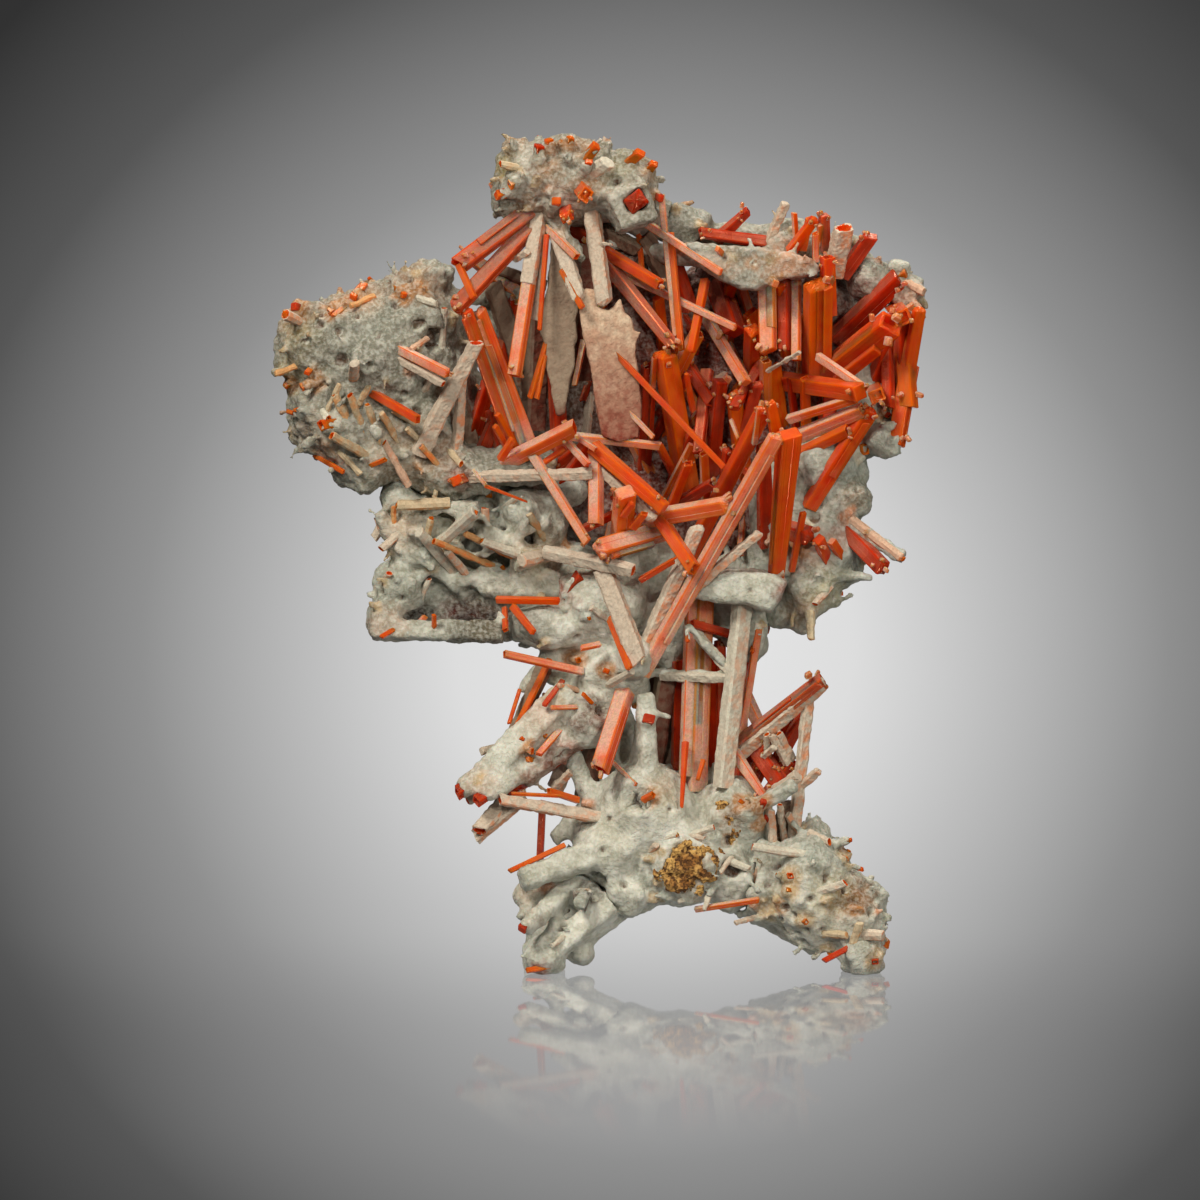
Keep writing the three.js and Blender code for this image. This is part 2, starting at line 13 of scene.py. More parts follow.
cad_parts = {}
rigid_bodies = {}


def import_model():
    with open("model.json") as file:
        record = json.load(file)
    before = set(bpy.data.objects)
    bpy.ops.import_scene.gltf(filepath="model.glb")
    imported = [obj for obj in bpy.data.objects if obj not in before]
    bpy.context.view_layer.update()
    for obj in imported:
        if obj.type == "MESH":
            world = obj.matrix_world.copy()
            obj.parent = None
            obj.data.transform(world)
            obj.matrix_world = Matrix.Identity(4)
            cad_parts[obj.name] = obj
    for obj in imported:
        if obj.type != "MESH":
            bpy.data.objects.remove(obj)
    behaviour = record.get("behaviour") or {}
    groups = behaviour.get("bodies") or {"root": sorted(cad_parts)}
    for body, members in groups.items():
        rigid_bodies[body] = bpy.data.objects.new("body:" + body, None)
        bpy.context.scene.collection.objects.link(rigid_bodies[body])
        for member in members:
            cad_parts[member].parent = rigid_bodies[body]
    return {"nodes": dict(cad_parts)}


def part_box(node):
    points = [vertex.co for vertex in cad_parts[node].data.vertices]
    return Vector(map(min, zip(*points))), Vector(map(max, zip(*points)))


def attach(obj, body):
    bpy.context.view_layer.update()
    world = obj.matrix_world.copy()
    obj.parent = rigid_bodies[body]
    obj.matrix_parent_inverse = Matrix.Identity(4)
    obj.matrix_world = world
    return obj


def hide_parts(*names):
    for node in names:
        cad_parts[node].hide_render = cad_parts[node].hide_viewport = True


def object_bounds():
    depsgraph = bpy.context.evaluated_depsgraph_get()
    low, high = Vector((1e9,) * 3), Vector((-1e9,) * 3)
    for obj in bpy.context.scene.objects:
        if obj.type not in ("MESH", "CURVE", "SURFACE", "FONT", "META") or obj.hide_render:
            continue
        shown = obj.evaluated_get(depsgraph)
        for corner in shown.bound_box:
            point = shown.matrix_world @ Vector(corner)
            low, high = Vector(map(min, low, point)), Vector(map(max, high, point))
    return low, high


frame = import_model()
cad_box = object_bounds()

MM = 0.001
MIDDLE_DEPTH = 7.1  # from the line that the tables' depths are counted from to the frame's middle
PRISM_ROLL = 27  # turn of a crystal about its length, in degrees
ROLL_SPREAD = 20  # and how far that differs between crystals
PRISM_DEPTH = 0.85  # thickness of a crystal, as a share of its width
TIP_SLANT = 0.45  # steepest slant of a crystal's end
BODY = 10  # a model crystal's length up to its end, in widths
TIP = 0.3  # and the length of that end
HOLLOW_DEPTH = 0.5  # how deep a hollow end is, in widths
HOLLOW_RADIUS = 0.52  # what is nearer to the axis than this lies inside it
FRONT = Vector((0, 1, 0))  # the way a line of sight runs from the front
DUST_AND_LIGHT_FALL = Vector((-0.5, -0.35, 0.79))  # the dust lies on faces turned this way, towards the light, so that it is partly painted light

# Crystals, by the frame's node: (name, root, tip, width, finish, width at the tip as a share of that)
CRYSTALS = {
    "cluster_centre_blade": [
        ("knob_leg", (-2.4, -2, 157), (1, -6.4, 133), 3.8, "coated", 1),
        ("centre_blade", (1.2, -4, 136), (4, -4, 106.8), 9.6, "coated", 0.86),
        ("long_needle", (2.2, -5, 124.4), (24.5, -14, 101), 1.5, "bare", 0.9),
        ("crossing_pink", (-6, -2, 107), (12, -6, 105), 2.2, "dusted", 0.9),
    ],
    "cluster_fan_pink": [
        ("left_spray_upper", (-14, -1, 151.6), (-28, -7, 141), 4.3, "dusky", 1),
        ("left_spray_lower", (-12, 0, 150.4), (-29, -9, 132), 4, "dusky", 1),
        ("hanging_left", (-12, -1, 151.5), (-17, -9, 119), 3.4, "dusted", 1),
        ("fan_orange", (-16.6, 1, 103.5), (-26.5, -9, 132), 3, "bare", 0.9),
        ("fan_pink", (-14, 2, 103.5), (-24, -7, 132.5), 4.5, "dusted", 0.6),
    ],
    "cluster_hanging_blade": [
        ("hanging_blade", (-7.2, 1, 148.5), (-8, -3, 111.5), 6, "coated", 0.4),
        ("blade_needle", (-9.6, -1, 129), (-14, -6, 114.5), 1.4, "bare", 0.9),
    ],
    "crystal_hanging_lavender": [
        ("hanging_lavender", (-8.4, -2, 147), (-4, -7.5, 134), 3.8, "coated", 0.9),
    ],
    "cluster_upper_orange": [
        ("upper_pink", (12.2, -1, 155), (15, -3, 126.8), 1.5, "dusted", 0.8),
        ("upper_orange", (13.9, -1, 147.4), (16.2, -4, 124), 1.9, "bare", 0.8),
        ("upper_cross", (6, 2, 151.4), (24, -8, 139.5), 2, "dusted", 0.9),
    ],
    "cluster_middle_cross": [
        ("middle_cross", (4, 5, 139.4), (27, -6, 128.5), 1.9, "dusted", 0.9),
        ("middle_orange", (21, 3, 138), (18, -6, 123.6), 2.3, "bare", 0.9),
    ],
    "crystal_middle_glint": [
        ("middle_glint", (20.6, 15, 131.6), (29, -3, 117.5), 2.8, "dusted", 1),
    ],
    "crystal_middle_deep": [
        ("middle_deep", (23.6, 16, 137), (27, 6, 127.5), 6, "deep", 0.9),
    ],
    "cluster_brown_cross": [
        ("left_of_blade", (0.8, 5, 143.8), (12, -4, 137), 3, "bare", 0.9),
        ("brown_cross", (1, 5, 141.8), (14.5, -5, 125), 3.7, "dusky", 0.8),
    ],
    "cluster_block_red": [
        ("beam_pink", (33.2, 2, 140), (33.5, -2, 123.7), 4.3, "dusted", 0.9),
        ("beam_red", (36.7, 3, 140), (36.7, -1, 124), 3.2, "deep", 0.9),
        ("block_red", (30.5, 15, 120.6), (30.5, -1, 128.3), 4.2, "bare", 1),
    ],
    "crystal_beam_narrow": [
        ("beam_narrow", (39.2, 3, 141), (39, -2, 122), 2.3, "dusted", 1),
    ],
    "cluster_right_big": [
        ("beam_big", (43, 8, 119), (43, -5, 137.8), 5.7, "bare", 1),
        ("crest_red", (45.6, 0, 131), (45.2, -4, 142.6), 3.6, "bare", 0.95),
        ("right_big", (46, 8, 119.6), (57.8, -7, 129.4), 6.5, "bare", 1),
        ("right_outer", (60, 6, 134), (61.6, 1, 112.6), 4.2, "bare", 1),
        ("right_outer_low", (61.8, 4, 121), (59, 0, 105), 4.4, "bare", 0.9),
        ("right_ring", (59, 6, 132), (60, -6, 130.4), 4.8, "bare", 1),
        ("right_inner", (57.4, 6, 128), (57.5, 1, 112.6), 3, "deep", 1),
        ("right_level", (36, 13, 117.8), (51.6, -11, 115.8), 4.5, "bare", 1),
        ("right_pale", (43.4, 0, 122.8), (52.6, -10, 116.4), 2.2, "dusted", 1),
        ("right_small_ring", (54.6, 8, 116.4), (55, -6, 115), 4, "bare", 1),
    ],
    "crystal_crest_orange": [
        ("crest_orange", (38, 5, 143.6), (43, 1, 150.4), 2.9, "bare", 0.8),
    ],
    "crystal_crest_tan": [
        ("crest_tan", (33.2, 8, 144.6), (37, 4, 153.3), 2.3, "coated", 0.9),
    ],
    "cluster_crest_coated": [
        ("crest_coated", (46.4, 4, 139), (48.5, -1, 148.4), 4.8, "coated", 0.95),
        ("crest_deep", (48.4, 5, 139), (54, 0, 146.8), 3.6, "deep", 0.9),
    ],
    "cluster_crest_lying": [
        ("crest_left", (23.4, 8, 146), (29.6, 3, 151.8), 3.2, "deep", 0.7),
        ("crest_lying", (34, 8, 145.4), (20, 3, 147.4), 3, "deep", 0.8),
    ],
    "cluster_tower": [
        ("tower", (18, 16, 94), (12.8, -1, 123.8), 5.5, "bare", 1),
        ("tower_left", (8.4, 16, 98), (9.6, 1.6, 121), 4, "deep", 0.8),
    ],
    "cluster_tower_right": [
        ("tower_right", (22, 16, 98), (24, 3, 118), 4.2, "deep", 0.8),
        ("tower_far", (29, 16, 98), (26.6, 4, 115.6), 3.8, "bare", 0.9),
    ],
    "cluster_pillar": [
        ("fan_low", (-13.8, -4, 104), (-2.5, -9, 86), 2.4, "dusted", 0.9),
        ("elbow", (-19, -1, 101.6), (-5, -10, 108.8), 4, "dusted", 1),
        ("long_rod", (-26, -1, 98.8), (-1.4, -7, 99.6), 3, "coated", 0.9),
        ("cross_upright", (-0.8, -4, 105), (-0.8, -9, 89.5), 3.5, "dusted", 1),
        ("cross_orange", (-1.4, -6, 105), (12.8, -13, 92.8), 3.7, "bare", 0.9),
        ("cross_pale", (0.2, -5, 100.4), (10.6, -9, 90.4), 2.6, "coated", 1),
        ("cross_prism", (4, 0, 84), (5, -12, 96.2), 5, "dusted", 1),
        ("cross_box", (14, 2, 88.4), (-0.6, -11, 84.6), 4.8, "dusted", 1),
        ("cross_right", (8, -1, 90.2), (25.4, -14, 93.6), 4.1, "dusted", 1),
        ("cross_bright", (12, -5, 90.4), (18.6, -14, 80.8), 3.2, "bare", 1),
        ("longest", (8.4, -3, 59.6), (35, -19, 107.6), 3.6, "dusted", 1),
        ("longest_coat", (8, -2, 62), (19.6, -9.4, 89.4), 4.2, "coated", 0.8),
        ("splinter", (18.6, -8.6, 76.8), (31.6, -12, 88), 2.5, "coated", 0.8),
        ("pillar", (34.8, 0, 76), (37.4, -16.6, 107.8), 3.4, "bare", 1.7),
    ],
    "cluster_fan_white": [
        ("fan_white", (-36, -2, 103.6), (-24.5, -10, 125.6), 4.5, "coated", 0.7),
        ("fan_white_thin", (-28.6, 1, 101.5), (-27.4, -6, 119.2), 2.8, "coated", 0.9),
    ],
    "cluster_trunk_lavender": [
        ("cross_rod", (-11, -1, 83.8), (6.6, -9, 80.4), 3.5, "coated", 1),
        ("trunk_lavender", (0.6, -4.6, 80.6), (7.8, -7, 62), 4.5, "coated", 1),
    ],
    "cluster_longest_twin": [
        ("longest_twin", (17, 13, 81), (32.6, -13, 112.6), 3.9, "bare", 1),
        ("pillar_cap", (35.6, -9, 104), (33.6, -16, 114), 3, "bare", 0.8),
    ],
    "crystal_right_deep": [
        ("right_deep", (47, 10, 126), (59.6, 2, 138.4), 5, "deep", 1),
    ],
    "cluster_right_long": [
        ("right_pink", (40, 4, 107), (52.2, -7, 112.2), 3.5, "dusted", 1),
        ("right_hollow", (39.6, 4, 103.2), (49.2, -5.4, 108.2), 3, "bare", 1),
        ("right_long", (41.6, 2, 92.8), (54, -6, 112.6), 4, "bare", 1),
    ],
    "crystal_pillar_deep": [
        ("pillar_deep", (33.2, 6, 85), (32.4, -6, 105.4), 3.8, "deep", 0.8),
    ],
    "crystal_low_end": [
        ("low_end", (35.6, 4, 88.6), (42, -4, 87), 4.6, "deep", 1),
    ],
    "crystal_low_v": [
        ("low_v", (46.4, 4, 79.4), (43.4, -5, 86.6), 2.8, "bare", 1),
    ],
    "crystal_low_cluster": [
        ("low_cluster", (48.6, 2, 88.6), (56.6, -6, 80.4), 4, "deep", 1),
    ],
    "crystal_column_white": [
        ("column_white", (24.4, -3, 37), (28.6, -3, 75.6), 5, "pale", 1),
    ],
    "crystal_column_thin": [
        ("column_thin", (28.2, 3, 47), (31.6, 2, 68.6), 1.8, "dusted", 1),
    ],
    "crystal_column_striped": [
        ("column_striped", (19, 2, 36), (20.4, 2, 77), 5.5, "dusted", 1),
    ],
    "cluster_branch": [
        ("branch", (25.6, 3, 41.6), (44.6, -5, 58.2), 4, "coated", 1),
        ("branch_upright", (38.2, 2, 23), (41.6, -3, 55.4), 3, "coated", 0.9),
    ],
    "crystal_trunk_ring": [
        ("trunk_ring", (5, -1, 56), (0, -11, 41), 4.6, "dusted", 1),
    ],
    "crystal_band_long": [
        ("band_long", (-10, 1, 62.4), (-16.6, -4, 49), 1.6, "bare", 1),
    ],
    "cluster_low_left_rod": [
        ("low_left_rod", (3, -3, 30.4), (-20, -9, 35), 3, "coated", 0.9),
        ("low_left_thin", (-11.4, -6.4, 34.4), (-12, 0, 22), 1.6, "deep", 1),
    ],
    "crystal_low_left_stub": [
        ("low_left_stub", (-15, -5, 35.4), (-24.6, -4, 27), 3.3, "coated", 1),
    ],
    "crystal_lobe_pink": [
        ("lobe_pink", (-43.4, -2, 126), (-30, -13, 119.5), 2.4, "dusted", 1),
    ],
    "crystal_back_upper": [
        ("back_upper", (14, 21, 126), (24, 31, 146), 4, "dusted", 0.9),
    ],
    "crystal_back_right": [
        ("back_right", (38, 21, 118), (50, 32, 112), 4.4, "bare", 0.9),
    ],
    "crystal_back_middle": [
        ("back_middle", (18, 22, 106), (8, 33, 92), 4.4, "dusted", 0.9),
    ],
    "crystal_back_left": [
        ("back_left", (-40, 13, 124), (-32, 25, 134), 3.8, "dusted", 0.9),
    ],
    "crystal_knob_core": [("knob_core", (6.9, -4, 153.4), (7.1, -12, 153.6), 5.8, "deep", 1)],
    "crystal_band_end": [("band_end", (-17, -1, 44), (-28.4, -9, 36.2), 3.4, "deep", 1)],
    "crystal_band_end_low": [("band_end_low", (-15, -2, 41), (-24.6, -10, 34.6), 3, "deep", 1)],
}

# The ends of crystals that aren't the usual one for their finish
ENDS = {
    "left_spray_upper": "hollow", "elbow": "hollow", "right_big": "hollow", "right_ring": "hollow",
    "right_small_ring": "hollow", "right_pink": "hollow", "right_hollow": "hollow", "trunk_ring": "hollow",
    "tower": "broken", "beam_big": "broken", "longest": "broken", "longest_twin": "broken",
    "cross_right": "broken", "cross_rod": "hollow", "knob_core": "broken", "low_cluster": "broken",
    "block_red": "broken", "pillar_cap": "broken", "low_end": "broken", "cross_box": "broken",
}

# Crystals too small or too crowded for the frame, by the piece that they make up
FINE_CRYSTALS = {
    "knob": [
        ("knob_end", (-4.2, -4, 157), (-2.8, -11.5, 154.8), 3.6, "bare", 1),
        ("knob_block", (-6.6, -3, 152.4), (-6.6, -10.5, 150.3), 3.2, "bare", 1),
        ("knob_pink", (-10.6, -1, 148.5), (-4.6, -9, 142.6), 2, "dusted", 1),
        ("hanging_grey", (-11.2, 1, 151), (-13, -3, 130), 2.6, "coated", 0.9),
        ("hanging_orange", (-10.6, -3, 147), (-12, -8, 128), 1.3, "bare", 0.8),
        ("hanging_short", (-7.6, -5, 140), (-3.5, -9, 132.5), 1.5, "bare", 1),
        ("hanging_sleeve", (-12, -1, 151.5), (-14.3, -4.6, 137.2), 3.9, "coated", 0.95),
        ("knob_splinter", (0.2, -6, 145.2), (2.4, -8.4, 145.1), 0.8, "coated", 0.6),
        ("spray_small", (-28, -7, 141), (-25, -10, 134.5), 1.7, "bare", 1),
        ("spray_stub", (-17, -2, 142), (-14.5, -5, 143.6), 1.6, "coated", 1),
        ("faint_orange", (7.7, 4, 148), (8.5, 2, 138), 1.4, "bare", 0.9),
    ],
    "beam": [
        ("crest_block", (44.8, 5, 144), (44.6, 1, 151), 2.8, "dusky", 0.9),
        ("beam_bar", (43, 4, 142.4), (42.8, -5, 147.2), 1.5, "bare", 1),
        ("crest_thin", (39.2, 6, 145.4), (38.7, 3, 151.4), 1.4, "dusted", 1),
        ("crest_short", (44, 4, 145), (43.8, 1, 149), 1.5, "dusted", 1),
        ("crest_bright", (40.4, 5, 144), (41.7, 2, 150.4), 2, "bare", 0.8),
        ("tower_behind", (33.4, 14, 110), (33, 3, 122), 3, "dusted", 0.9),
        ("beam_glint", (42.9, -4, 141.6), (42.8, -6, 147), 1.3, "dusted", 1),
        ("level_rod", (33.4, 2, 119.8), (39.6, -7, 123.7), 1.1, "coated", 0.9),
        ("small_needle", (26.2, 4, 110), (27.6, -2, 106.3), 1, "dusted", 1),
        ("deep_left", (21.5, 10, 120), (19.6, 5, 103), 3, "deep", 0.9),
        ("deep_right", (27.6, 12, 104), (31.4, 3, 117.6), 3.2, "deep", 0.9),
        ("deep_slant", (33, 12, 122), (26.6, 2, 112.4), 3, "deep", 0.8),
        ("left_shard", (10.4, 4, 116), (10.8, -2, 122.6), 1.6, "dusted", 0.8),
        ("mid_shard", (18.6, 6, 112), (17.2, -3, 119.4), 1.6, "bare", 0.7),
    ],
    "left": [
        # the first part of the lying needle has the pale tip finish as a painted highlight
        ("lying_needle", (-25.2, -6, 100.4), (-22.4, -8, 97), 0.9, "tip", 1),
        ("lying_needle_end", (-22.8, -8, 97.2), (-14.4, -8, 94), 0.9, "bare", 0.5),
        ("rod_red_end", (-27, 0, 98.4), (-28.6, -6, 98.2), 3, "bare", 1),
        ("fan_small", (-16, 1, 103.5), (-20.4, -6, 111.4), 1.6, "bare", 1),
        ("fan_small_low", (-18.2, -2, 104), (-20.9, -7.4, 109.2), 1.5, "bare", 1),
        ("fan_small_root", (-19.8, -4, 102.4), (-17.2, -7, 106.6), 2, "bare", 0.9),
        ("fan_deep", (-24.4, 6, 101.5), (-19.6, 1, 113.5), 3.4, "deep", 0.8),
        ("elbow_thin", (-7, -5, 106.4), (-2.4, -9.6, 101.4), 1.8, "dusted", 1),
        ("elbow_pink", (-5.2, -6, 107.2), (-0.8, -9.4, 104.4), 1.3, "dusted", 1),
        ("elbow_low", (-7, -5, 104.6), (-12.2, -4, 101), 1.4, "bare", 1),
        ("lobe_amber", (-46, -3, 116), (-36, -11, 110.4), 2.1, "bare", 1),
        ("lobe_yellow", (-42, -3, 123.4), (-31, -11.6, 117.4), 2, "coated", 1),
        ("lattice_bar", (-20.6, 1, 74.3), (-8, -4, 74.2), 1.8, "bare", 1),
        ("lattice_slant", (-17.4, -1, 73), (-13.2, -6, 68), 1.8, "bare", 0.9),
        ("lattice_low", (-19, 1, 72.6), (-18.8, -4.6, 68.4), 1.4, "bare", 1),
        ("needle_orange", (-11, -3, 123), (-12.6, -5, 114.4), 1.3, "bare", 1),
        ("peach_behind", (-3.2, 0, 126), (-5.1, -1.4, 117), 1.6, "dusted", 0.8),
    ],
    "middle": [
        ("cross_wedge", (12, 12, 91), (22.5, -4, 97.6), 3.4, "deep", 0.7),
        ("right_thin", (37.6, 3, 110.2), (51, -8, 114.6), 2.3, "dusted", 1),
        ("low_pale", (50.4, 4, 79.4), (46, -4, 86.2), 2.2, "dusted", 1),
        ("pale_needle", (5.4, -5, 112.2), (10.6, -8, 106.8), 1.3, "dusted", 0.9),
        ("highlight_needle", (7.8, -9, 78.6), (15.2, -13, 83.2), 0.6, "bare", 1),
        ("cross_face", (8, -6, 78.4), (14.6, -10, 82.4), 1.6, "bare", 0.9),
        ("cross_glint", (4.6, -10, 91.4), (6.6, -13, 94), 2, "bare", 0.8),
        ("cross_lower", (6.6, -8, 89), (8.8, -12, 91.8), 2, "bare", 0.8),
        ("cross_back", (10, 8, 86), (2.6, -2, 95.6), 2.6, "deep", 0.9),
        ("cross_under", (-4, 2, 88), (6, -3, 93), 2.2, "deep", 0.9),
        ("tower_foot", (14, 6, 92), (17.6, -4, 101.6), 2.4, "bare", 0.9),
        ("tower_side", (21.4, 8, 92), (20.6, -3, 103.6), 2.2, "dusted", 0.9),
        ("slot_red", (24.6, 9, 92), (25.4, -2, 104.4), 2.8, "deep", 0.9),
        ("pillar_edge", (38.2, 1, 80), (40.4, -6, 92), 1.6, "bare", 1),
        ("twin_shard", (30.6, -9, 105.6), (31.4, -15, 112.8), 1.5, "dusted", 0.7),
        ("peach_stub", (36, 1, 86.6), (36.1, -3, 79), 1.6, "coated", 1),
    ],
    "waist": [
        ("column_dark", (24.2, 8, 38), (24, 8, 66), 2.6, "deep", 1),
        ("column_red", (15.4, 5, 40), (15.6, 5, 62), 2.6, "deep", 1),
        ("column_sliver", (17, -2, 46), (16.2, -8, 33.2), 1.7, "bare", 0.5),
        ("column_chip", (20.6, -2, 42.4), (19.4, -5, 38.6), 1.2, "bare", 0.8),
        ("column_bar", (28, 3, 66.8), (18.4, -2, 69.6), 2, "deep", 1),
        ("column_flag", (32.2, 6, 68.4), (30.2, 1, 63.6), 2, "bare", 0.5),
        ("column_patch", (20.6, 6, 76), (17.6, 0, 70), 2.6, "bare", 0.8),
        ("trunk_bright", (1.8, -3, 71), (5.9, -9, 60.8), 1.7, "bare", 1),
        ("band_top", (-3.4, -1, 60), (-19, -8, 63.8), 1.9, "dusted", 1),
        ("band_edge", (-16, 0, 56.4), (-18.1, -4, 49.8), 0.9, "bare", 1),
        ("band_deep", (-7.4, -1, 58.2), (-11.2, -6, 53.4), 1.3, "deep", 1),
        ("band_peach", (-6.3, 0, 50.2), (-12.2, -7.4, 43.8), 1.6, "dusted", 1),
        ("band_bar", (-1.8, -1, 53), (-9.7, -7, 53.1), 1.1, "dusted", 1),
        ("band_chip", (-1.2, -2, 53.3), (-3.4, -6, 55.8), 1, "bare", 1),
        ("band_stub", (-19, 1, 44.9), (-23.6, -3, 44.2), 2, "coated", 1),
        ("ring_side", (1.6, -2, 43), (7.2, -7.4, 37.8), 1, "dusted", 1),
        ("branch_low", (37.4, 0, 41.6), (34.3, -3, 47.4), 2.2, "coated", 1),
        ("branch_stub", (39.8, 0, 36.8), (43.7, -3, 40.5), 2, "coated", 1),
        ("branch_red", (31, 4, 40), (33.2, 0, 45.4), 2.6, "deep", 0.8),
        ("branch_knob", (32.6, 0, 43), (34.8, -3, 45.2), 1.6, "coated", 1),
        ("base_pink", (19, -5, 12.8), (31.6, -12, 15.2), 1.5, "dusted", 1),
        ("rod_chip", (-17.6, -7, 36), (-8, -8.4, 35.6), 0.9, "bare", 1),
        ("rod_red", (-4.4, -2, 34.4), (-10.2, -8, 36.6), 1.7, "bare", 0.9),
        ("rod_tan", (-9.2, -1, 36.8), (-5.8, -4, 40.2), 2, "coated", 1),
        ("foot_red_edge", (-7, -4, 25.6), (-18, -8.2, 20.6), 1.2, "bare", 1),
        ("trunk_chip", (0, -4, 65.6), (-3.8, -6.4, 64.9), 1.5, "dusted", 1),
    ],
    "back": [
        ("back_pale", (4, 20, 122), (-6, 31, 132), 3.6, "coated", 0.9),
        ("back_low", (16, 13, 66), (24, 24, 52), 4, "coated", 0.9),
        ("back_red", (30, 21, 134), (22, 30.5, 140), 3, "bare", 0.9),
        ("back_thin", (42, 21, 128), (36, 31, 138), 2.4, "dusted", 0.9),
        ("back_deep", (2, 20, 102), (-6, 30, 96), 3.2, "deep", 0.9),
        ("back_cross", (24, 22, 116), (38, 30, 118), 3, "dusted", 0.9),
        ("back_short", (12, 22, 98), (18, 31, 102), 2.8, "bare", 0.9),
        ("back_lobe", (-48, 14, 112), (-56, 22, 106), 2.6, "bare", 0.9),
        ("back_knob", (-8, 9, 158), (-16, 15, 162), 3, "dusted", 0.9),
        ("back_waist", (2, 12, 72), (-6, 22, 76), 2.8, "bare", 0.9),
        ("back_base", (18, 17, 32), (26, 24, 40), 3, "dusted", 0.9),
    ],
}

# Flat coated blades: (outline of x, z pairs, depth at the top, depth at the foot, thickness, the share of the
# height on which the coat thins towards the foot)
BLADES = {
    "cluster_centre_blade": ([
        (-3.3, 136.3), (-0.7, 136), (-0.6, 132.6), (1.5, 131.8), (4, 134), (5, 131.4), (6.3, 130.3),
        (6.7, 127.8), (8, 127.6), (7.2, 125.6), (6.9, 123.4), (7.6, 120.6), (7.5, 117.6), (8.3, 114.4),
        (8.2, 111), (7.6, 106.8), (3.6, 105.8), (0.3, 107), (-0.2, 109.6), (-0.5, 111.6), (-1.4, 116.4),
        (-1.6, 119.6), (-2.2, 122.4), (-3.2, 126.4), (-3.5, 128.6), (-4, 131.4),
    ], -4.2, -4, 3.6, 0.9, "blade"),
    # the hanging blade has the darker shaded coat, as painted shade
    "cluster_hanging_blade": ([
        (-9.6, 147.4), (-5.6, 146), (-4.2, 140), (-4, 133.4), (-4.6, 130.2), (-4.4, 127), (-5.2, 124.2),
        (-5, 121), (-6.2, 117.4), (-6.8, 113.4), (-7, 111.4), (-8.6, 110.8), (-9.5, 115), (-10.2, 118.6),
        (-10.7, 121.4), (-11.2, 125.8), (-12.1, 128.2), (-12, 131), (-10.4, 136.6),
    ], 0.6, -3, 2.6, 0.1, "shaded"),
}

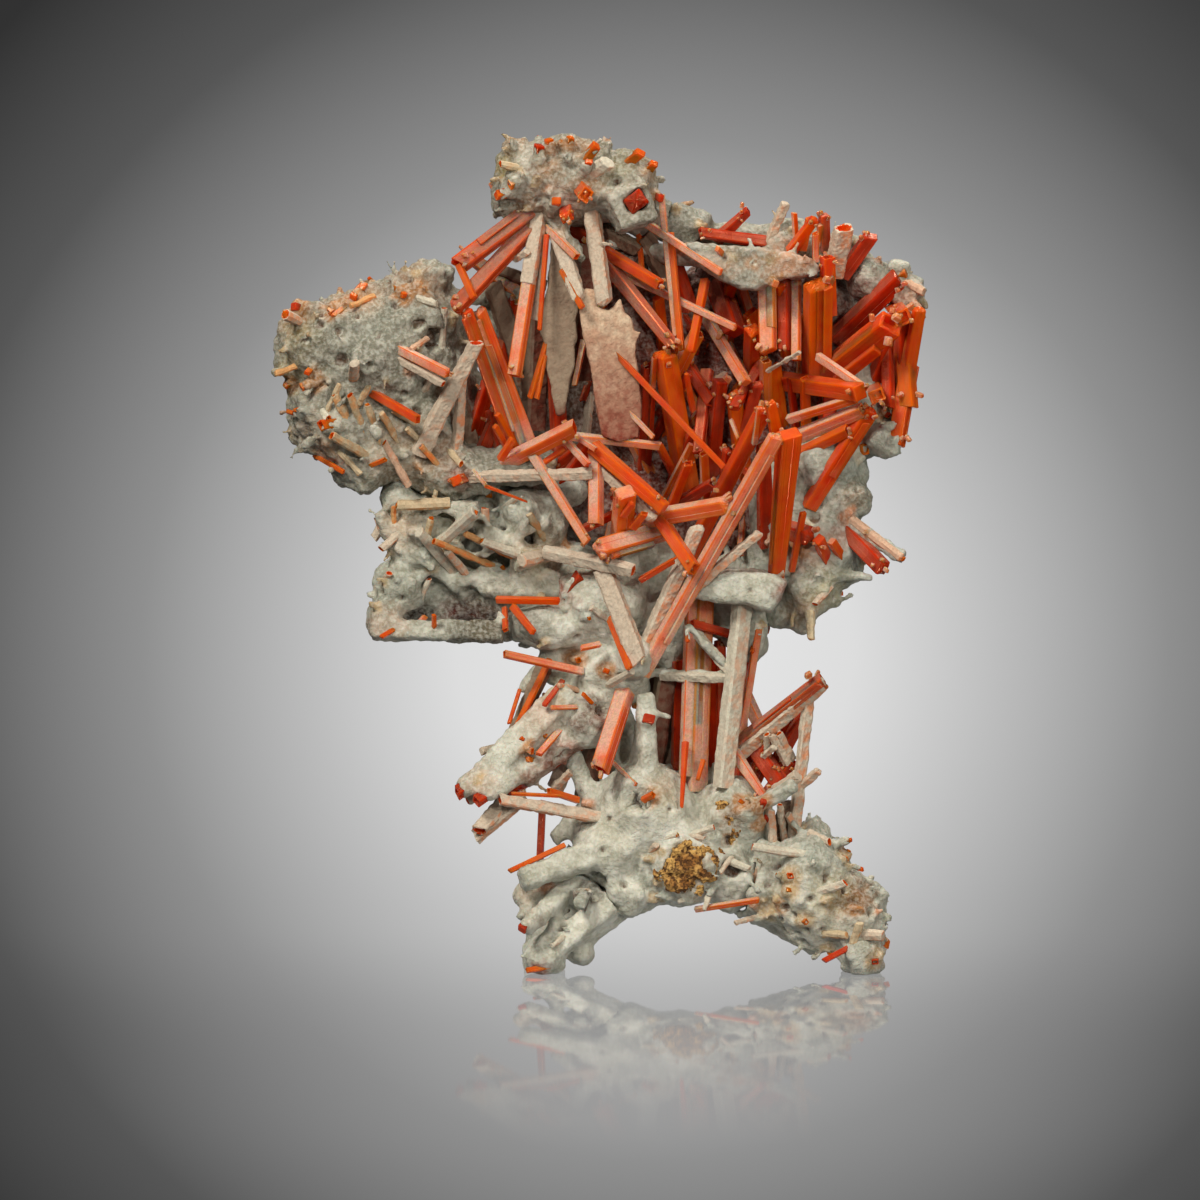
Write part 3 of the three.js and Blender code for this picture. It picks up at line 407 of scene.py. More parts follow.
# Small coated or bare crystals that stand on the front of the crust:
# (root x, root z, tip x, tip z, width, how far the tip stands out, finish)
STUBS = {
    "top_knob": [
        (-17, 155.6, -20.6, 154.8, 2.5, 1.5, "bare"), (-15.4, 158.4, -18, 156.8, 2.6, 1, "dusted"),
        (-16, 163.6, -18, 165.8, 3, 1, "coated"), (-15, 160, -19.8, 161, 2, 1, "tan"),
        (-17, 163, -19.2, 164.2, 1.8, 1, "tan"), (-12.4, 160.6, -12, 164.8, 2.6, 1, "deep"),
        (-9.6, 162, -10.2, 166, 2.2, 0.6, "bare"), (-6.4, 163, -5.8, 166.6, 2, 0.8, "bare"),
        (-6.6, 161, -6.2, 162.6, 3.4, 2, "coated"), (-2.8, 162, -0.6, 164.8, 2.6, 1.4, "bare"),
        (5.6, 161.4, 8.2, 163.4, 2.6, 1, "bare"), (9.4, 159.6, 11, 161.4, 2.2, 1, "bare"),
        (-12.6, 159.8, -11, 162.4, 1.8, 1, "tan"), (10.4, 155.4, 12.4, 154, 2, 1, "deep"),
        (-9.6, 151.6, -8.6, 153.8, 2.4, 2, "bare"), (-13, 152, -16.6, 151.6, 1.4, 1.4, "tan"),
        (-14.6, 150.6, -17.4, 147.6, 1.6, 1, "dusted"), (-19, 158.6, -21.6, 157.6, 1.6, 0.6, "tan"),
        (-18, 152.6, -21.4, 151.6, 1.8, 1, "coated"), (-13.6, 156, -12, 158.6, 1.4, 1.6, "tan"),
        (-16.6, 160.6, -15.4, 158.6, 1.3, 2, "tan"), (1, 162, 2, 165.4, 2.2, 1, "coated"),
        (-4, 158.6, -2.2, 161.4, 3.4, 2, "pale"), (-2, 159, 1.6, 161.4, 4, 2.4, "pale"),
    ],
    "left_lobe": [
        (-59.4, 129.6, -62.4, 131.2, 3, 2.2, "coated"), (-58.4, 131.8, -61, 132.8, 2.2, 0.6, "deep"),
        (-47, 137, -49.2, 134.4, 2.2, 0.8, "bare"), (-44.8, 134.8, -49.6, 132.8, 1.7, 1.4, "amber"),
        (-50.4, 134, -54, 131.6, 1.9, 0.8, "dusted"), (-48, 135, -53, 130.8, 1.3, 1.2, "dusted"),
        (-40.8, 136.4, -38.8, 134.8, 1.8, 0.8, "bare"), (-56.4, 121.4, -58.1, 119.6, 2.8, 2.4, "coated"),
        (-53.6, 120.2, -59.4, 116.6, 2.1, 1.2, "dusted"), (-42.6, 119.6, -42.8, 115.4, 1.1, 1.4, "tan"),
        (-58.2, 115.6, -54, 110.4, 2.2, 1, "pale"), (-50.8, 109.4, -55.4, 109.1, 2.8, 2, "bare"),
        (-50.2, 110.4, -52.8, 115.2, 2.2, 1, "tan"), (-46.8, 107.4, -49.6, 115.2, 1.9, 2, "tan"),
        (-43.4, 105.6, -46.2, 113.2, 2.1, 2, "tan"), (-40.2, 106, -43.4, 111.8, 1.8, 2, "tan"),
        (-35.6, 108.8, -41.2, 112.2, 1.8, 2, "tan"), (-46, 102.8, -53.2, 107.2, 2.4, 1.6, "tan"),
        (-46.6, 101.6, -47.6, 102.8, 2.2, 2, "coated"), (-46, 101, -42.6, 102.4, 1.2, 1.2, "bare"),
        (-38, 97.2, -42.8, 105.8, 1.8, 2.4, "peach"), (-37.2, 102.4, -35.4, 99.2, 1, 1, "amber"),
        (-40, 102, -38.6, 103.4, 2.4, 2, "pale"), (-31.4, 124, -31, 132.4, 1.8, 1, "pale"),
        (-29.6, 127.6, -29, 131, 1.6, 1, "tan"), (-57, 103.2, -51, 99.8, 1.3, 0.8, "bare"),
        (-52, 104, -47.6, 99.4, 1.8, 1, "tan"), (-55.6, 107.6, -58.8, 105.2, 2, 1, "coated"),
        (-57, 113, -60.4, 112, 2.4, 1.4, "coated"), (-60, 121, -64.6, 119.4, 1.8, 1, "amber"),
        (-60.6, 118, -63, 116.8, 1.8, 0.8, "dusted"), (-33.4, 138, -36.6, 139.4, 1.4, 0.8, "tan"),
        (-37, 134.6, -32.4, 133.2, 1.8, 1.4, "pale"), (-38, 138, -35, 136, 2, 0.6, "amber"),
        (-31.6, 137.4, -29.8, 140.4, 2, 1, "coated"), (-36.6, 121.6, -38, 119.4, 2, 1.4, "peach"),
        (-34.4, 126.4, -37.6, 124.2, 1.6, 1.4, "peach"), (-49, 118.6, -48.6, 121.6, 2.6, 2.8, "coated"),
        (-46, 119.6, -46.8, 121.6, 1.8, 1.6, "coated"), (-61.8, 124.4, -63.8, 123.6, 2, 0.4, "tan"),
        (-34.4, 104.6, -38.4, 108.6, 1.7, 1.8, "tan"), (-32, 101, -35.6, 105, 1.5, 1.6, "amber"),
        (-48.4, 112.4, -46, 117, 1.5, 1.4, "tan"), (-54.6, 111.2, -51.6, 117.4, 1.4, 1, "tan"),
        (-30.4, 104.4, -27.6, 101.4, 1.8, 1.4, "tan"), (-44, 97.6, -48, 95.8, 1.6, 0.8, "coated"),
        (-41, 97, -43.2, 94.6, 1.5, 0.8, "tan"), (-60.6, 104.6, -61.6, 102.4, 1.7, 0.4, "coated"),
        (-36, 114.6, -33.6, 118, 1.6, 1.2, "pale"), (-49.6, 124.6, -52.8, 127.8, 1.5, 0.8, "pale"),
    ],
    "left_lattice": [
        (-25.4, 75.2, -36, 88, 2.9, 2.4, "pale"), (-23.2, 74.8, -30.4, 84.2, 2.2, 2.6, "coated"),
        (-20.2, 80.4, -33, 86.2, 1.9, 2.4, "amber"), (-17.4, 83, -27, 87.6, 1.8, 2, "amber"),
        (-22.3, 84.6, -22.9, 92.6, 2.2, 2, "peach"), (-16.2, 83.4, -23.4, 86.2, 2.6, 2.6, "pale"),
        (-31.4, 86.2, -24.8, 92.1, 3.2, 2.6, "pale"), (-30, 93.6, -40.4, 93.2, 3, 1.4, "tan"),
        (-35.2, 83.8, -33.6, 90.6, 2.2, 2, "tan"), (-10.4, 85.4, -14.2, 91.6, 2.1, 1.4, "tan"),
        (-41, 93.4, -45.2, 86.4, 2.6, 0.6, "coated"), (-41.4, 78, -44.8, 78.4, 2, 0.6, "tan"),
        (-6.6, 83.8, -15.6, 82.2, 3.6, 1.4, "coated"), (-13.9, 79.6, -11.6, 74.2, 2.4, 2.4, "tan"),
        (-10.6, 86, -14, 90.4, 1.6, 1, "coated"), (-41, 84, -41, 93, 1.4, 1.4, "amber"),
        (-39, 88.4, -43.6, 84.4, 2.2, 1, "coated"), (-33, 68.4, -33, 71.6, 1.2, 2.2, "bare"),
        (-24.2, 74, -22.4, 71.2, 1, 1.4, "pale"), (-30, 78, -34.6, 81.6, 1.6, 1, "tan"),
        (-37.6, 80, -40.8, 78.2, 1.8, 1, "coated"), (-43, 73, -46, 73.4, 2, 1, "tan"),
        (-44.6, 76.4, -42, 79.6, 1.6, 1, "coated"), (-36, 74, -34.2, 78.4, 1.5, 1, "pale"),
        (-29.6, 90.6, -26, 88.4, 1.6, 1.2, "amber"), (-33.6, 92.4, -32.4, 96.2, 1.5, 1, "tan"),
        (-20, 92, -16.6, 94.6, 1.8, 1.4, "pale"), (-25.6, 92.6, -24.6, 91.4, 3.2, 1.6, "coated"),
        (-18.6, 76.4, -16, 79.4, 1.4, 1.4, "tan"), (-40, 69, -43.6, 67, 1.2, 1, "bare"),
    ],
    "waist": [
        (-6.6, 74.6, -3.8, 79.2, 3.6, 1, "deep"), (-9, 77.4, -6.4, 79.4, 2.6, 0.8, "bare"),
        (-6.6, 62.8, -4.2, 62.2, 1.6, 0.8, "bare"), (-18, 38, -19.8, 38.8, 2.2, 1.4, "peach"),
        (-15.6, 45.6, -13.4, 44.4, 1.6, 0.8, "dusted"), (-13, 42.4, -14.6, 42.8, 1.5, 0.8, "dusted"),
        (-16.4, 46.4, -15.2, 47, 1.2, 0.6, "bare"), (-11.8, 46.6, -10.8, 47.6, 1.1, 0.6, "dusted"),
        (0.4, 59.4, 1.4, 60.4, 1.7, 1, "bare"), (7, 45.2, 8, 46, 2, 1, "dusted"),
        (1, 57, 6.4, 60.4, 2, 1.2, "pale"), (17.2, 69.2, 17.4, 66.4, 2, 1.2, "coated"),
        (-20.6, 37, -26.4, 34.4, 2.4, 1, "coated"), (31.6, 70.6, 33.4, 68.8, 1.6, 0.8, "tan"),
        (-3.6, 56, -8.4, 57.4, 1.4, 1, "peach"), (-15.4, 52.6, -13, 50.4, 1.4, 1, "tan"),
        (-9, 66.4, -12.6, 65, 1.6, 1, "tan"), (2.4, 70, -1.8, 73, 2, 1, "pale"),
        (-22.6, 41, -24.4, 38.4, 1.4, 1, "tan"),
    ],
    "base": [
        (7.4, 22.6, 10.2, 23, 1.3, 1, "tan"), (10.4, 24.4, 12.4, 24.6, 1.2, 0.8, "tan"),
        (8.6, 34.8, 10.6, 36, 1.8, 1, "bare"), (26.6, 33.6, 28.4, 34.4, 1.6, 0.8, "bare"),
        (22.6, 18.6, 20.6, 12.8, 1.4, 1, "pale"), (25.4, 22.6, 29.6, 21, 2, 1.4, "pale"),
        (29, 19.6, 31.6, 16.4, 1.8, 1, "coated"), (27.4, 24.8, 23.8, 20.4, 1.4, 1, "coated"),
        (18, 27.8, 22.6, 29.4, 1.8, 0.8, "pale"), (30, 27.6, 33.4, 31.4, 1.8, 1.4, "deep"),
        (30.4, 31, 32.6, 34.8, 1.8, 1.4, "deep"), (12.4, 14, 10.8, 11.6, 1.6, 1, "coated"),
        (9.2, 50.2, 9.8, 51, 3, 1, "deep"), (10.6, 16, 8, 19.4, 1.8, 0.6, "coated"),
        (8, 18.6, 8.4, 22.6, 1.6, 0.6, "pale"), (8.6, 22, 11.2, 26, 1.8, 0.6, "coated"),
        (11, 26.2, 15.6, 28, 1.6, 0.6, "pale"), (15.6, 28, 20.6, 27, 1.8, 0.6, "coated"),
        (23.8, 24, 24.6, 19.6, 1.6, 0.6, "pale"), (24, 19.4, 21.4, 15.6, 1.8, 0.6, "coated"),
        (20.8, 15.6, 15.4, 14.6, 1.6, 0.6, "pale"), (14.8, 14.6, 10.8, 15.8, 1.8, 0.6, "coated"),
    ],
    "left_foot": [
        (-3, 15.8, -4.2, 14, 3.8, 2.6, "coated"), (-12.4, 12.6, -15.6, 9.4, 2.6, 2, "deep"),
        (-10, 1.6, -14.6, 1, 1.4, 0.6, "bare"), (-6.6, 8, -9.6, 5.8, 1.4, 1, "pale"),
        (-13.6, 5.6, -15.8, 3.4, 1.6, 0.8, "coated"),
    ],
    "right_foot": [
        (46.6, 25.2, 49.8, 26.8, 2, 1, "coated"), (32.8, 9.6, 28.6, 9.2, 1.5, 1, "coated"),
        (31, 11.4, 26.8, 10.4, 1.3, 1.4, "coated"), (37.2, 18.6, 37.8, 20, 2, 1, "bare"),
        (37, 16.2, 37.6, 17.2, 1.7, 1, "bare"), (38.8, 10.2, 41, 10.8, 1.6, 1, "bare"),
        (49.2, 5.4, 44.4, 3, 1.4, 0.8, "deep"), (50.2, 6.2, 51.6, 10.6, 2, 1, "tan"),
        (43.2, 16.6, 48.6, 18.6, 2, 1.2, "pale"), (44, 8.2, 49, 8, 2, 1.2, "tan"),
        (51, 8, 56.2, 8, 3, 1.2, "coated"), (41, 24, 30.2, 25.6, 2.4, 1.4, "pale"),
        (34.4, 26.4, 34, 33, 2.4, 0.6, "coated"), (31.2, 28, 33, 26, 2, 1, "coated"),
        (41.6, 28, 45.6, 26.4, 2, 1, "coated"), (55.6, 5.2, 54.6, 2.6, 1.8, 0.8, "deep"),
        (48.6, 22, 52, 21, 2, 1, "coated"), (52.8, 17.6, 55.8, 17, 1.8, 1, "coated"),
        (36.2, 13, 34.6, 15.4, 1.6, 1.2, "tan"), (40, 20.6, 42.6, 22.6, 1.6, 1, "pale"),
        (46, 12.6, 44.6, 15, 1.6, 1, "tan"), (40.6, 5.6, 38.4, 4.2, 1.6, 1, "coated"),
        (34.4, 8.6, 32.4, 7.6, 1.5, 1, "coated"), (44.6, 5.8, 42.4, 2.8, 1.6, 1, "coated"),
        (48.4, 13, 52.4, 13.4, 1.8, 1.2, "amber"), (33, 21.4, 30.8, 23.4, 1.5, 1, "tan"),
        (36.4, 23.4, 38.6, 25.6, 1.6, 1, "pale"), (56.4, 11.6, 58, 10.8, 2, 0.8, "coated"),
    ],
    "right_lobe": [
        (56, 104.6, 59.4, 106, 3, 1, "coated"), (55.6, 107.6, 58.4, 109.6, 2.6, 1, "pale"),
        (42, 72, 42, 66.2, 2.4, 0.6, "tan"), (38.4, 72.6, 38.3, 68.7, 1.4, 0.6, "tan"),
        (50, 90.4, 60.2, 82.6, 2.6, 1, "peach"), (47.6, 73.8, 50.4, 75.4, 1.8, 0.6, "coated"),
        (45, 70.8, 46.6, 73.6, 1.8, 0.8, "tan"), (50.8, 104.8, 53, 104.2, 2.8, 1.4, "bare"),
        (56.4, 112.8, 57.6, 110.8, 1.6, 1, "deep"), (47, 89, 50.4, 92, 1.8, 1, "peach"),
        (40.6, 76.4, 43.6, 79.6, 2, 1.2, "pale"), (46, 77, 42.8, 73.4, 1.8, 1, "coated"),
        (36.4, 88.6, 39.6, 84.6, 2.2, 1.4, "bare"), (39.6, 89.6, 36.6, 85.6, 1.6, 1.6, "bare"),
    ],
    "ridge": [
        (55.6, 138.6, 54.6, 141, 2, 0.8, "coated"), (60.6, 137.6, 64.6, 135.6, 2.4, 1, "peach"),
        (62, 134, 63.6, 132.4, 2, 0.8, "peach"), (56.6, 136.6, 61, 139.6, 2.6, 1.2, "dusted"),
        (14, 151, 15.4, 153.2, 2, 0.8, "tan"), (18, 148.6, 21.6, 149, 2, 0.8, "tan"),
        (42.6, 140.4, 40.4, 143.2, 2, 1, "peach"), (50, 143.4, 52, 146, 2.4, 0.8, "coated"),
        (58.6, 131.4, 60.8, 134.4, 2.2, 1.4, "bare"), (60, 128, 57.6, 131, 1.8, 1.4, "bare"),
    ],
    "back_wall": [],
}

# Pits in the front of the crust: (x, z, radius, depth)
PORES = {
    "top_knob": [
        (-6.3, 162.3, 0.7, 1.2), (0.4, 161.6, 1, 1.4), (-12.4, 153.6, 0.7, 1), (3.2, 157.6, 0.6, 0.8),
    ],
    "left_lobe": [
        (-55.4, 131.4, 0.9, 1.4), (-52, 128, 0.8, 1.2), (-40.5, 133, 0.9, 1.4), (-42.4, 137.6, 0.8, 1.2),
        (-48.2, 130.8, 0.6, 0.8), (-38, 138, 0.6, 0.8), (-33, 126.2, 2, 3), (-36, 129.4, 1.3, 1.6),
        (-46.2, 120.6, 1.2, 1.8), (-58.6, 126, 0.8, 1), (-44, 127, 0.6, 0.8), (-39, 115.4, 0.7, 1),
        (-51.6, 122, 1.4, 1.4), (-36.4, 112, 1, 1.4), (-32.6, 106.6, 1.4, 2), (-55.6, 129.2, 1, 0.8),
    ],
    "left_lattice": [(-43.6, 76, 0.7, 1), (-39.4, 74.6, 0.6, 0.8), (-35.4, 91.6, 0.6, 0.8)],
    "waist": [(0.6, 52.6, 1.5, 2.4), (-7.4, 43, 1.6, 2.4), (-4.6, 66.6, 0.8, 1), (29.6, 76.4, 0.6, 0.8)],
    "base": [
        (7.4, 35.2, 2.5, 4.6), (0.6, 24.8, 0.7, 1), (4.8, 17.8, 0.7, 1), (10, 20.2, 0.7, 1),
        (26.4, 21.2, 1.9, 2.6), (1.6, 31, 0.6, 0.8), (14, 33, 0.6, 0.8), (25.6, 26.4, 1, 1.6),
        (-0.6, 18.6, 1.6, 4), (-1.6, 16.4, 1.7, 5), (-2.4, 14.4, 1.2, 3),
    ],
    "left_foot": [(-7.6, 9.8, 1, 2.4), (-7, 11.8, 0.9, 2), (-1.6, 16.4, 1.7, 4), (-2.4, 14.4, 1.2, 3)],
    "right_foot": [
        (36.8, 13.3, 0.9, 1.4), (41.7, 15.2, 0.9, 1.4), (36.8, 8.7, 0.7, 1), (41, 8.7, 0.8, 1.2),
        (44.3, 8.7, 0.8, 1.2), (40.5, 6.5, 0.7, 1), (39.2, 8.3, 0.6, 0.8), (35.2, 21.8, 0.8, 1.2),
        (33.5, 18, 0.8, 1.2), (30.5, 24.8, 0.8, 1.2), (48.3, 17, 0.8, 1.2), (38.5, 12, 0.6, 0.8),
        (36, 11, 0.6, 0.8), (41.3, 3.8, 0.6, 0.8), (43, 4.3, 0.6, 0.8), (54, 12.3, 0.9, 1.4),
        (45, 19.6, 1.4, 2),
    ],
    "right_lobe": [(51.4, 96.4, 0.8, 1.2), (49, 94.6, 0.6, 0.8), (47, 74.6, 0.7, 1), (42.4, 90.6, 1.2, 1.6)],
    "ridge": [(30.4, 141.4, 0.5, 0.6), (24.6, 142.6, 0.5, 0.6)],
}

# Stains on the front of the crust, and painted shade in its hollows, gaps and pits: (x, z, reach, colour,
# strength)
STAINS_AND_SHADES = {
    "top_knob": [
        (-6, 157, 20, "sage", 0.8), (-6, 157, 24, "clay_shade", 0.3), (-8, 156, 8, "dusk", 0.25),
        (4, 158, 5, "dusk", 0.3), (-4, 158, 7, "ivory", 0.4), (-19, 160.4, 2.6, "yellow", 0.9),
        (-17, 165.6, 2.6, "amber", 0.7), (-12.6, 161.4, 2.6, "rust", 0.8), (-10, 161, 3, "amber", 0.6),
        (-3, 164, 2.4, "amber", 0.6), (7, 162.6, 3, "moss", 0.8), (3, 159.6, 4, "moss", 0.7),
        (-2, 156.4, 3.4, "amber", 0.7), (10.4, 160, 3, "amber", 0.4), (-6, 152, 4, "blush", 0.7),
        (-10, 154, 5, "blush", 0.6), (-15, 151.6, 3, "amber", 0.5), (3, 153, 5, "ivory", 0.9),
        (5, 147.6, 3, "ivory", 0.8), (-14.6, 162, 3, "ivory", 0.8),
    ],
    "left_lobe": [
        (-46, 118, 50, "sage", 0.7), (-46, 118, 50, "clay_shade", 0.2), (-40, 122, 6, "dusk", 0.4),
        (-60.6, 130, 4, "amber", 0.5), (-59, 127, 4, "yellow", 0.5), (-62, 119, 4, "yellow", 0.5),
        (-48.4, 134.4, 4.4, "blush", 0.8), (-46, 134, 3, "amber", 0.6), (-54, 132.6, 3, "blush", 0.6),
        (-41, 136.6, 3, "blush", 0.5), (-37, 138, 4, "amber", 0.5), (-33, 136, 3.4, "blush", 0.5),
        (-50, 126, 9, "sage", 0.5), (-42, 129, 7, "sage", 0.5), (-44, 117, 8, "dusk", 0.6),
        (-56, 123, 5, "dusk", 0.4), (-54, 104.6, 3, "amber", 0.8), (-46, 106, 9, "ivory", 0.6),
        (-38, 103, 8, "amber", 0.35), (-33, 124, 3.4, "dusk", 0.7), (-56, 131, 3, "dusk", 0.5),
        (-38.6, 136, 4, "dusk", 0.4), (-31, 104, 4, "blush", 0.5), (-28, 98.6, 2.6, "rust", 0.8),
        (-36.6, 116, 5, "sage", 0.5), (-57.6, 108, 4, "blush", 0.4),
    ],
    "left_lattice": [
        (-30, 84, 22, "ivory", 0.5), (-30, 84, 12, "tan", 0.2), (-22, 79, 12, "ivory", 0.7),
        (-26, 77, 6, "bone", 0.4), (-12, 84, 6, "blush", 0.4), (-44.6, 68.6, 2.6, "rust", 0.8),
        (-40, 89, 5, "amber", 0.3), (-14, 76, 6, "ivory", 0.7), (-34, 68, 16, "sage", 0.3),
        (-38, 69, 6, "ivory", 0.5), (-23, 68, 8, "dusk", 1), (-15, 67.6, 4, "dusk", 0.6),
        (-42, 69.4, 4, "peach", 0.5), (-42, 70, 5, "dusk", 0.4), (-43, 67, 5, "ivory", 0.5),
        (-34, 78, 6, "sage", 0.5), (-13, 82, 4, "yellow", 0.35), (-29, 94, 4, "ivory", 0.5),
        (-15.6, 87.4, 6, "shade", 1), (-25.6, 88, 3, "shade", 1), (-35, 79.6, 2.6, "shade", 1),
        (-25, 71.4, 2.4, "shade", 1), (-12, 88, 3.4, "shade", 1), (-36, 71.4, 4, "shade", 1),
        (-16, 96.6, 6, "shade", 0.8), (-33.6, 96, 4, "shade", 0.8), (-23, 67.6, 8, "crevice_shade", 0.6),
        (-25, 72, 3.4, "maroon_shade", 1), (-29.6, 72, 3, "maroon_shade", 1), (-20.6, 72, 3, "maroon_shade", 1),
        (-16.4, 72, 2.6, "maroon_shade", 1),
    ],
    "waist": [
        (0, 60, 60, "ivory", 0.7), (0, 66, 12, "bone", 0.7), (-15, 70, 6, "dusk", 0.7),
        (-16, 46, 9, "bone", 0.6), (-14, 39, 2.6, "mauve_shade", 0.9), (-10, 41.6, 2.8, "mauve_shade", 0.9),
        (-5.4, 43.4, 2.8, "mauve_shade", 0.9), (-1, 52.6, 3.2, "umber_shade", 0.9), (-4, 49.6, 2.4, "umber_shade", 0.8),
        (-10, 56, 3, "yellow", 0.4), (-7, 76.6, 3.4, "rust", 0.8), (-4, 81, 3, "amber", 0.4),
        (2, 50, 3, "rust", 0.8), (-7.6, 43.4, 3.6, "rust", 0.7), (-17, 47, 6, "ivory", 0.7),
        (-24, 38, 4, "blush", 0.5), (-12, 52, 5, "blush", 0.5), (8, 47, 5, "ivory", 0.8),
        (30, 76, 6, "ivory", 0.9), (26, 66, 5, "dusk", 0.4), (37, 76, 2.6, "rust", 0.8),
    ],
    "base": [
        (9, 28, 40, "ivory", 0.75), (-1.4, 16.8, 3, "dark", 1), (13, 34, 4, "yellow", 0.35),
        (4, 29, 5, "yellow", 0.2), (10, 24, 12, "bone", 0.8), (17, 20.6, 5, "ochre", 0.8),
        (25.6, 31.6, 3, "ochre", 0.9), (25.4, 27, 1.6, "amber", 0.7), (20, 33, 5, "ivory", 0.7),
        (7.4, 35.2, 2.2, "dark", 0.9), (9.6, 36, 1.6, "amber", 0.7), (-6, 22, 8, "ivory", 0.5),
        (26.4, 21.4, 2, "dark", 0.7), (12, 37, 3, "amber", 0.3),
    ],
    "left_foot": [
        # the bone wash at x -2, z 8 is painted light on the foot's slab, which the lamps leave in shade
        (-6, 8, 40, "ivory", 0.7), (-8, 14, 8, "bone", 0.6), (-2, 8, 6, "bone", 0.8),
        (-1.6, 16.4, 2.6, "dark", 1), (-12, 0.6, 2.2, "rust", 0.8), (-13, 10.6, 2, "rust", 0.6),
        (-4, 9, 5, "ivory", 0.6), (-15, 15.6, 3, "amber", 0.3),
    ],
    "right_foot": [
        (40, 14, 40, "ivory", 0.5), (47, 21, 5, "dusk", 0.3), (35, 19, 3, "umber_shade", 0.3),
        (43, 11, 3, "yellow", 0.5), (40, 10, 9, "bone", 0.5), (50.6, 15, 4.4, "ochre", 1),
        (47, 14, 3, "amber", 0.6), (36.8, 8.7, 2, "ochre", 0.6), (40, 10, 6, "ivory", 0.6),
        (57, 8, 3, "umber_shade", 0.6), (55.4, 3, 2.4, "rust", 0.3), (45.6, 3.6, 2, "rust", 0.4),
        (42, 23.6, 5, "sage", 0.7), (44, 13, 4, "yellow", 0.4), (38, 17.6, 2, "blush", 0.4),
        (44, 14, 8, "bone", 0.3), (38, 12, 8, "ivory", 0.5), (50.8, 14.8, 4, "ochre", 0.8),
        (46, 17, 4, "yellow", 0.4), (52, 9, 4, "ivory", 0.5), (34, 14, 4, "yellow", 0.3),
    ],
    "right_lobe": [
        (47, 101, 7, "sage", 0.5), (50.6, 94.6, 3.4, "ochre", 0.6), (44, 96, 4, "ivory", 0.5),
        (45, 76, 5, "yellow", 0.35), (40, 72, 4, "amber", 0.4), (38, 84, 4, "blush", 0.7),
        (56, 106, 4, "ivory", 0.6), (48, 87, 3, "rust", 0.5), (43, 84, 4, "blush", 0.6),
    ],
    "ridge": [
        (31, 141.6, 6, "ivory", 0.5), (30, 141, 12, "clay_shade", 0.45), (30, 141.4, 1.6, "amber", 0.7),
        (26, 142.6, 1.6, "yellow", 0.6), (23.4, 140.2, 2, "amber", 0.6), (34, 142, 1.6, "yellow", 0.5),
        (38, 140.6, 6, "peach", 0.7), (24, 141.6, 4, "blush", 0.5), (22, 142.4, 3, "ivory", 0.7),
        (53, 139, 5, "dusk", 0.3), (48, 132, 9, "brick", 0.8), (57, 128, 5, "brick", 0.6),
        (16, 150, 6, "dusk", 0.6), (62, 135, 3, "peach", 0.5), (24, 147.6, 5, "dusk", 0.6),
    ],
    # the back wall's front is washed dark brick red and umber as painted shade of the hollow before it
    "back_wall": [
        (28, 112, 50, "brick", 0.9), (7, 142, 8, "umber_shade", 0.8), (20, 130, 14, "brick", 0.8),
        (36, 120, 12, "brick", 0.9), (46, 126, 10, "brick", 0.8), (-8, 114, 12, "umber_shade", 0.8),
        (12, 100, 14, "brick", 0.9), (28, 104, 14, "brick", 0.9), (4, 92, 10, "brick", 0.7),
        (24, 88, 10, "brick", 0.8), (10, 118, 10, "brick", 0.8),
    ],
}

# How each piece of the crust is grown: relief of its lumps and its knobs in mm, loose stubs to the front and
# to the back, and rounds of smoothing
CRUST_GROWTH = {
    "base": (0.8, 0.4, 10, 26, 18),
    "left_foot": (0.6, 0.3, 4, 12, 14),
    "right_foot": (0.9, 0.8, 26, 30, 4),
    "waist": (0.7, 0.4, 8, 30, 12),
    "left_lattice": (0.7, 0.6, 18, 24, 4),
    "left_lobe": (1.1, 1.1, 16, 70, 4),
    "back_wall": (1.6, 1.2, 0, 110, 4),
    "right_lobe": (0.9, 0.6, 12, 36, 6),
    "ridge": (0.7, 0.5, 10, 30, 6),
    "top_knob": (0.9, 0.7, 8, 36, 5),
}

# Swellings of the crust that close its gaps: (x, depth, z, radii)
LUMPS = {
    "left_lattice": [
        (-22, 9, 88, 15, 4, 7), (-10.5, 6, 90, 4.5, 4, 6), (-34, 6, 88, 8, 5, 5), (-36.6, 7, 82, 5, 5, 6),
        (-20, 8, 74, 12, 4, 5), (-40.5, 5, 94.6, 4, 5, 3.6), (-16, 9, 96.6, 9, 4, 3.2),
        (-33.5, 8, 96, 5, 4, 3), (-8, 9, 96, 6, 4, 4), (-34, 9, 72, 8, 3, 4), (-5, 8, 81, 5, 4, 5),
    ],
    "left_lobe": [(-21, 9, 128, 4.5, 3, 7), (-33.5, 3, 138.6, 5, 5, 3.4), (-25.6, 9, 108, 5, 4, 12)],
    "left_foot": [(-4, 1, 3.4, 3.2, 4, 2.4), (-15.4, -1, 15.4, 2, 3, 2.8)],
    "ridge": [(59.6, 4, 140.6, 2.6, 3, 1.6)],
    "right_lobe": [
        (52.2, 7, 99.2, 1.6, 3, 3), (36, 8, 71, 3.4, 4, 3), (40.4, 8, 69.6, 3, 4, 2.6),
        (50, 5, 94, 4.6, 6, 4.2), (44, 9, 90, 6, 5, 8), (33, 10, 82, 5, 4, 6),
    ],
    "waist": [(10, 9, 82, 7, 4, 5), (-9, 5, 61, 3.6, 3, 4.4)],
}

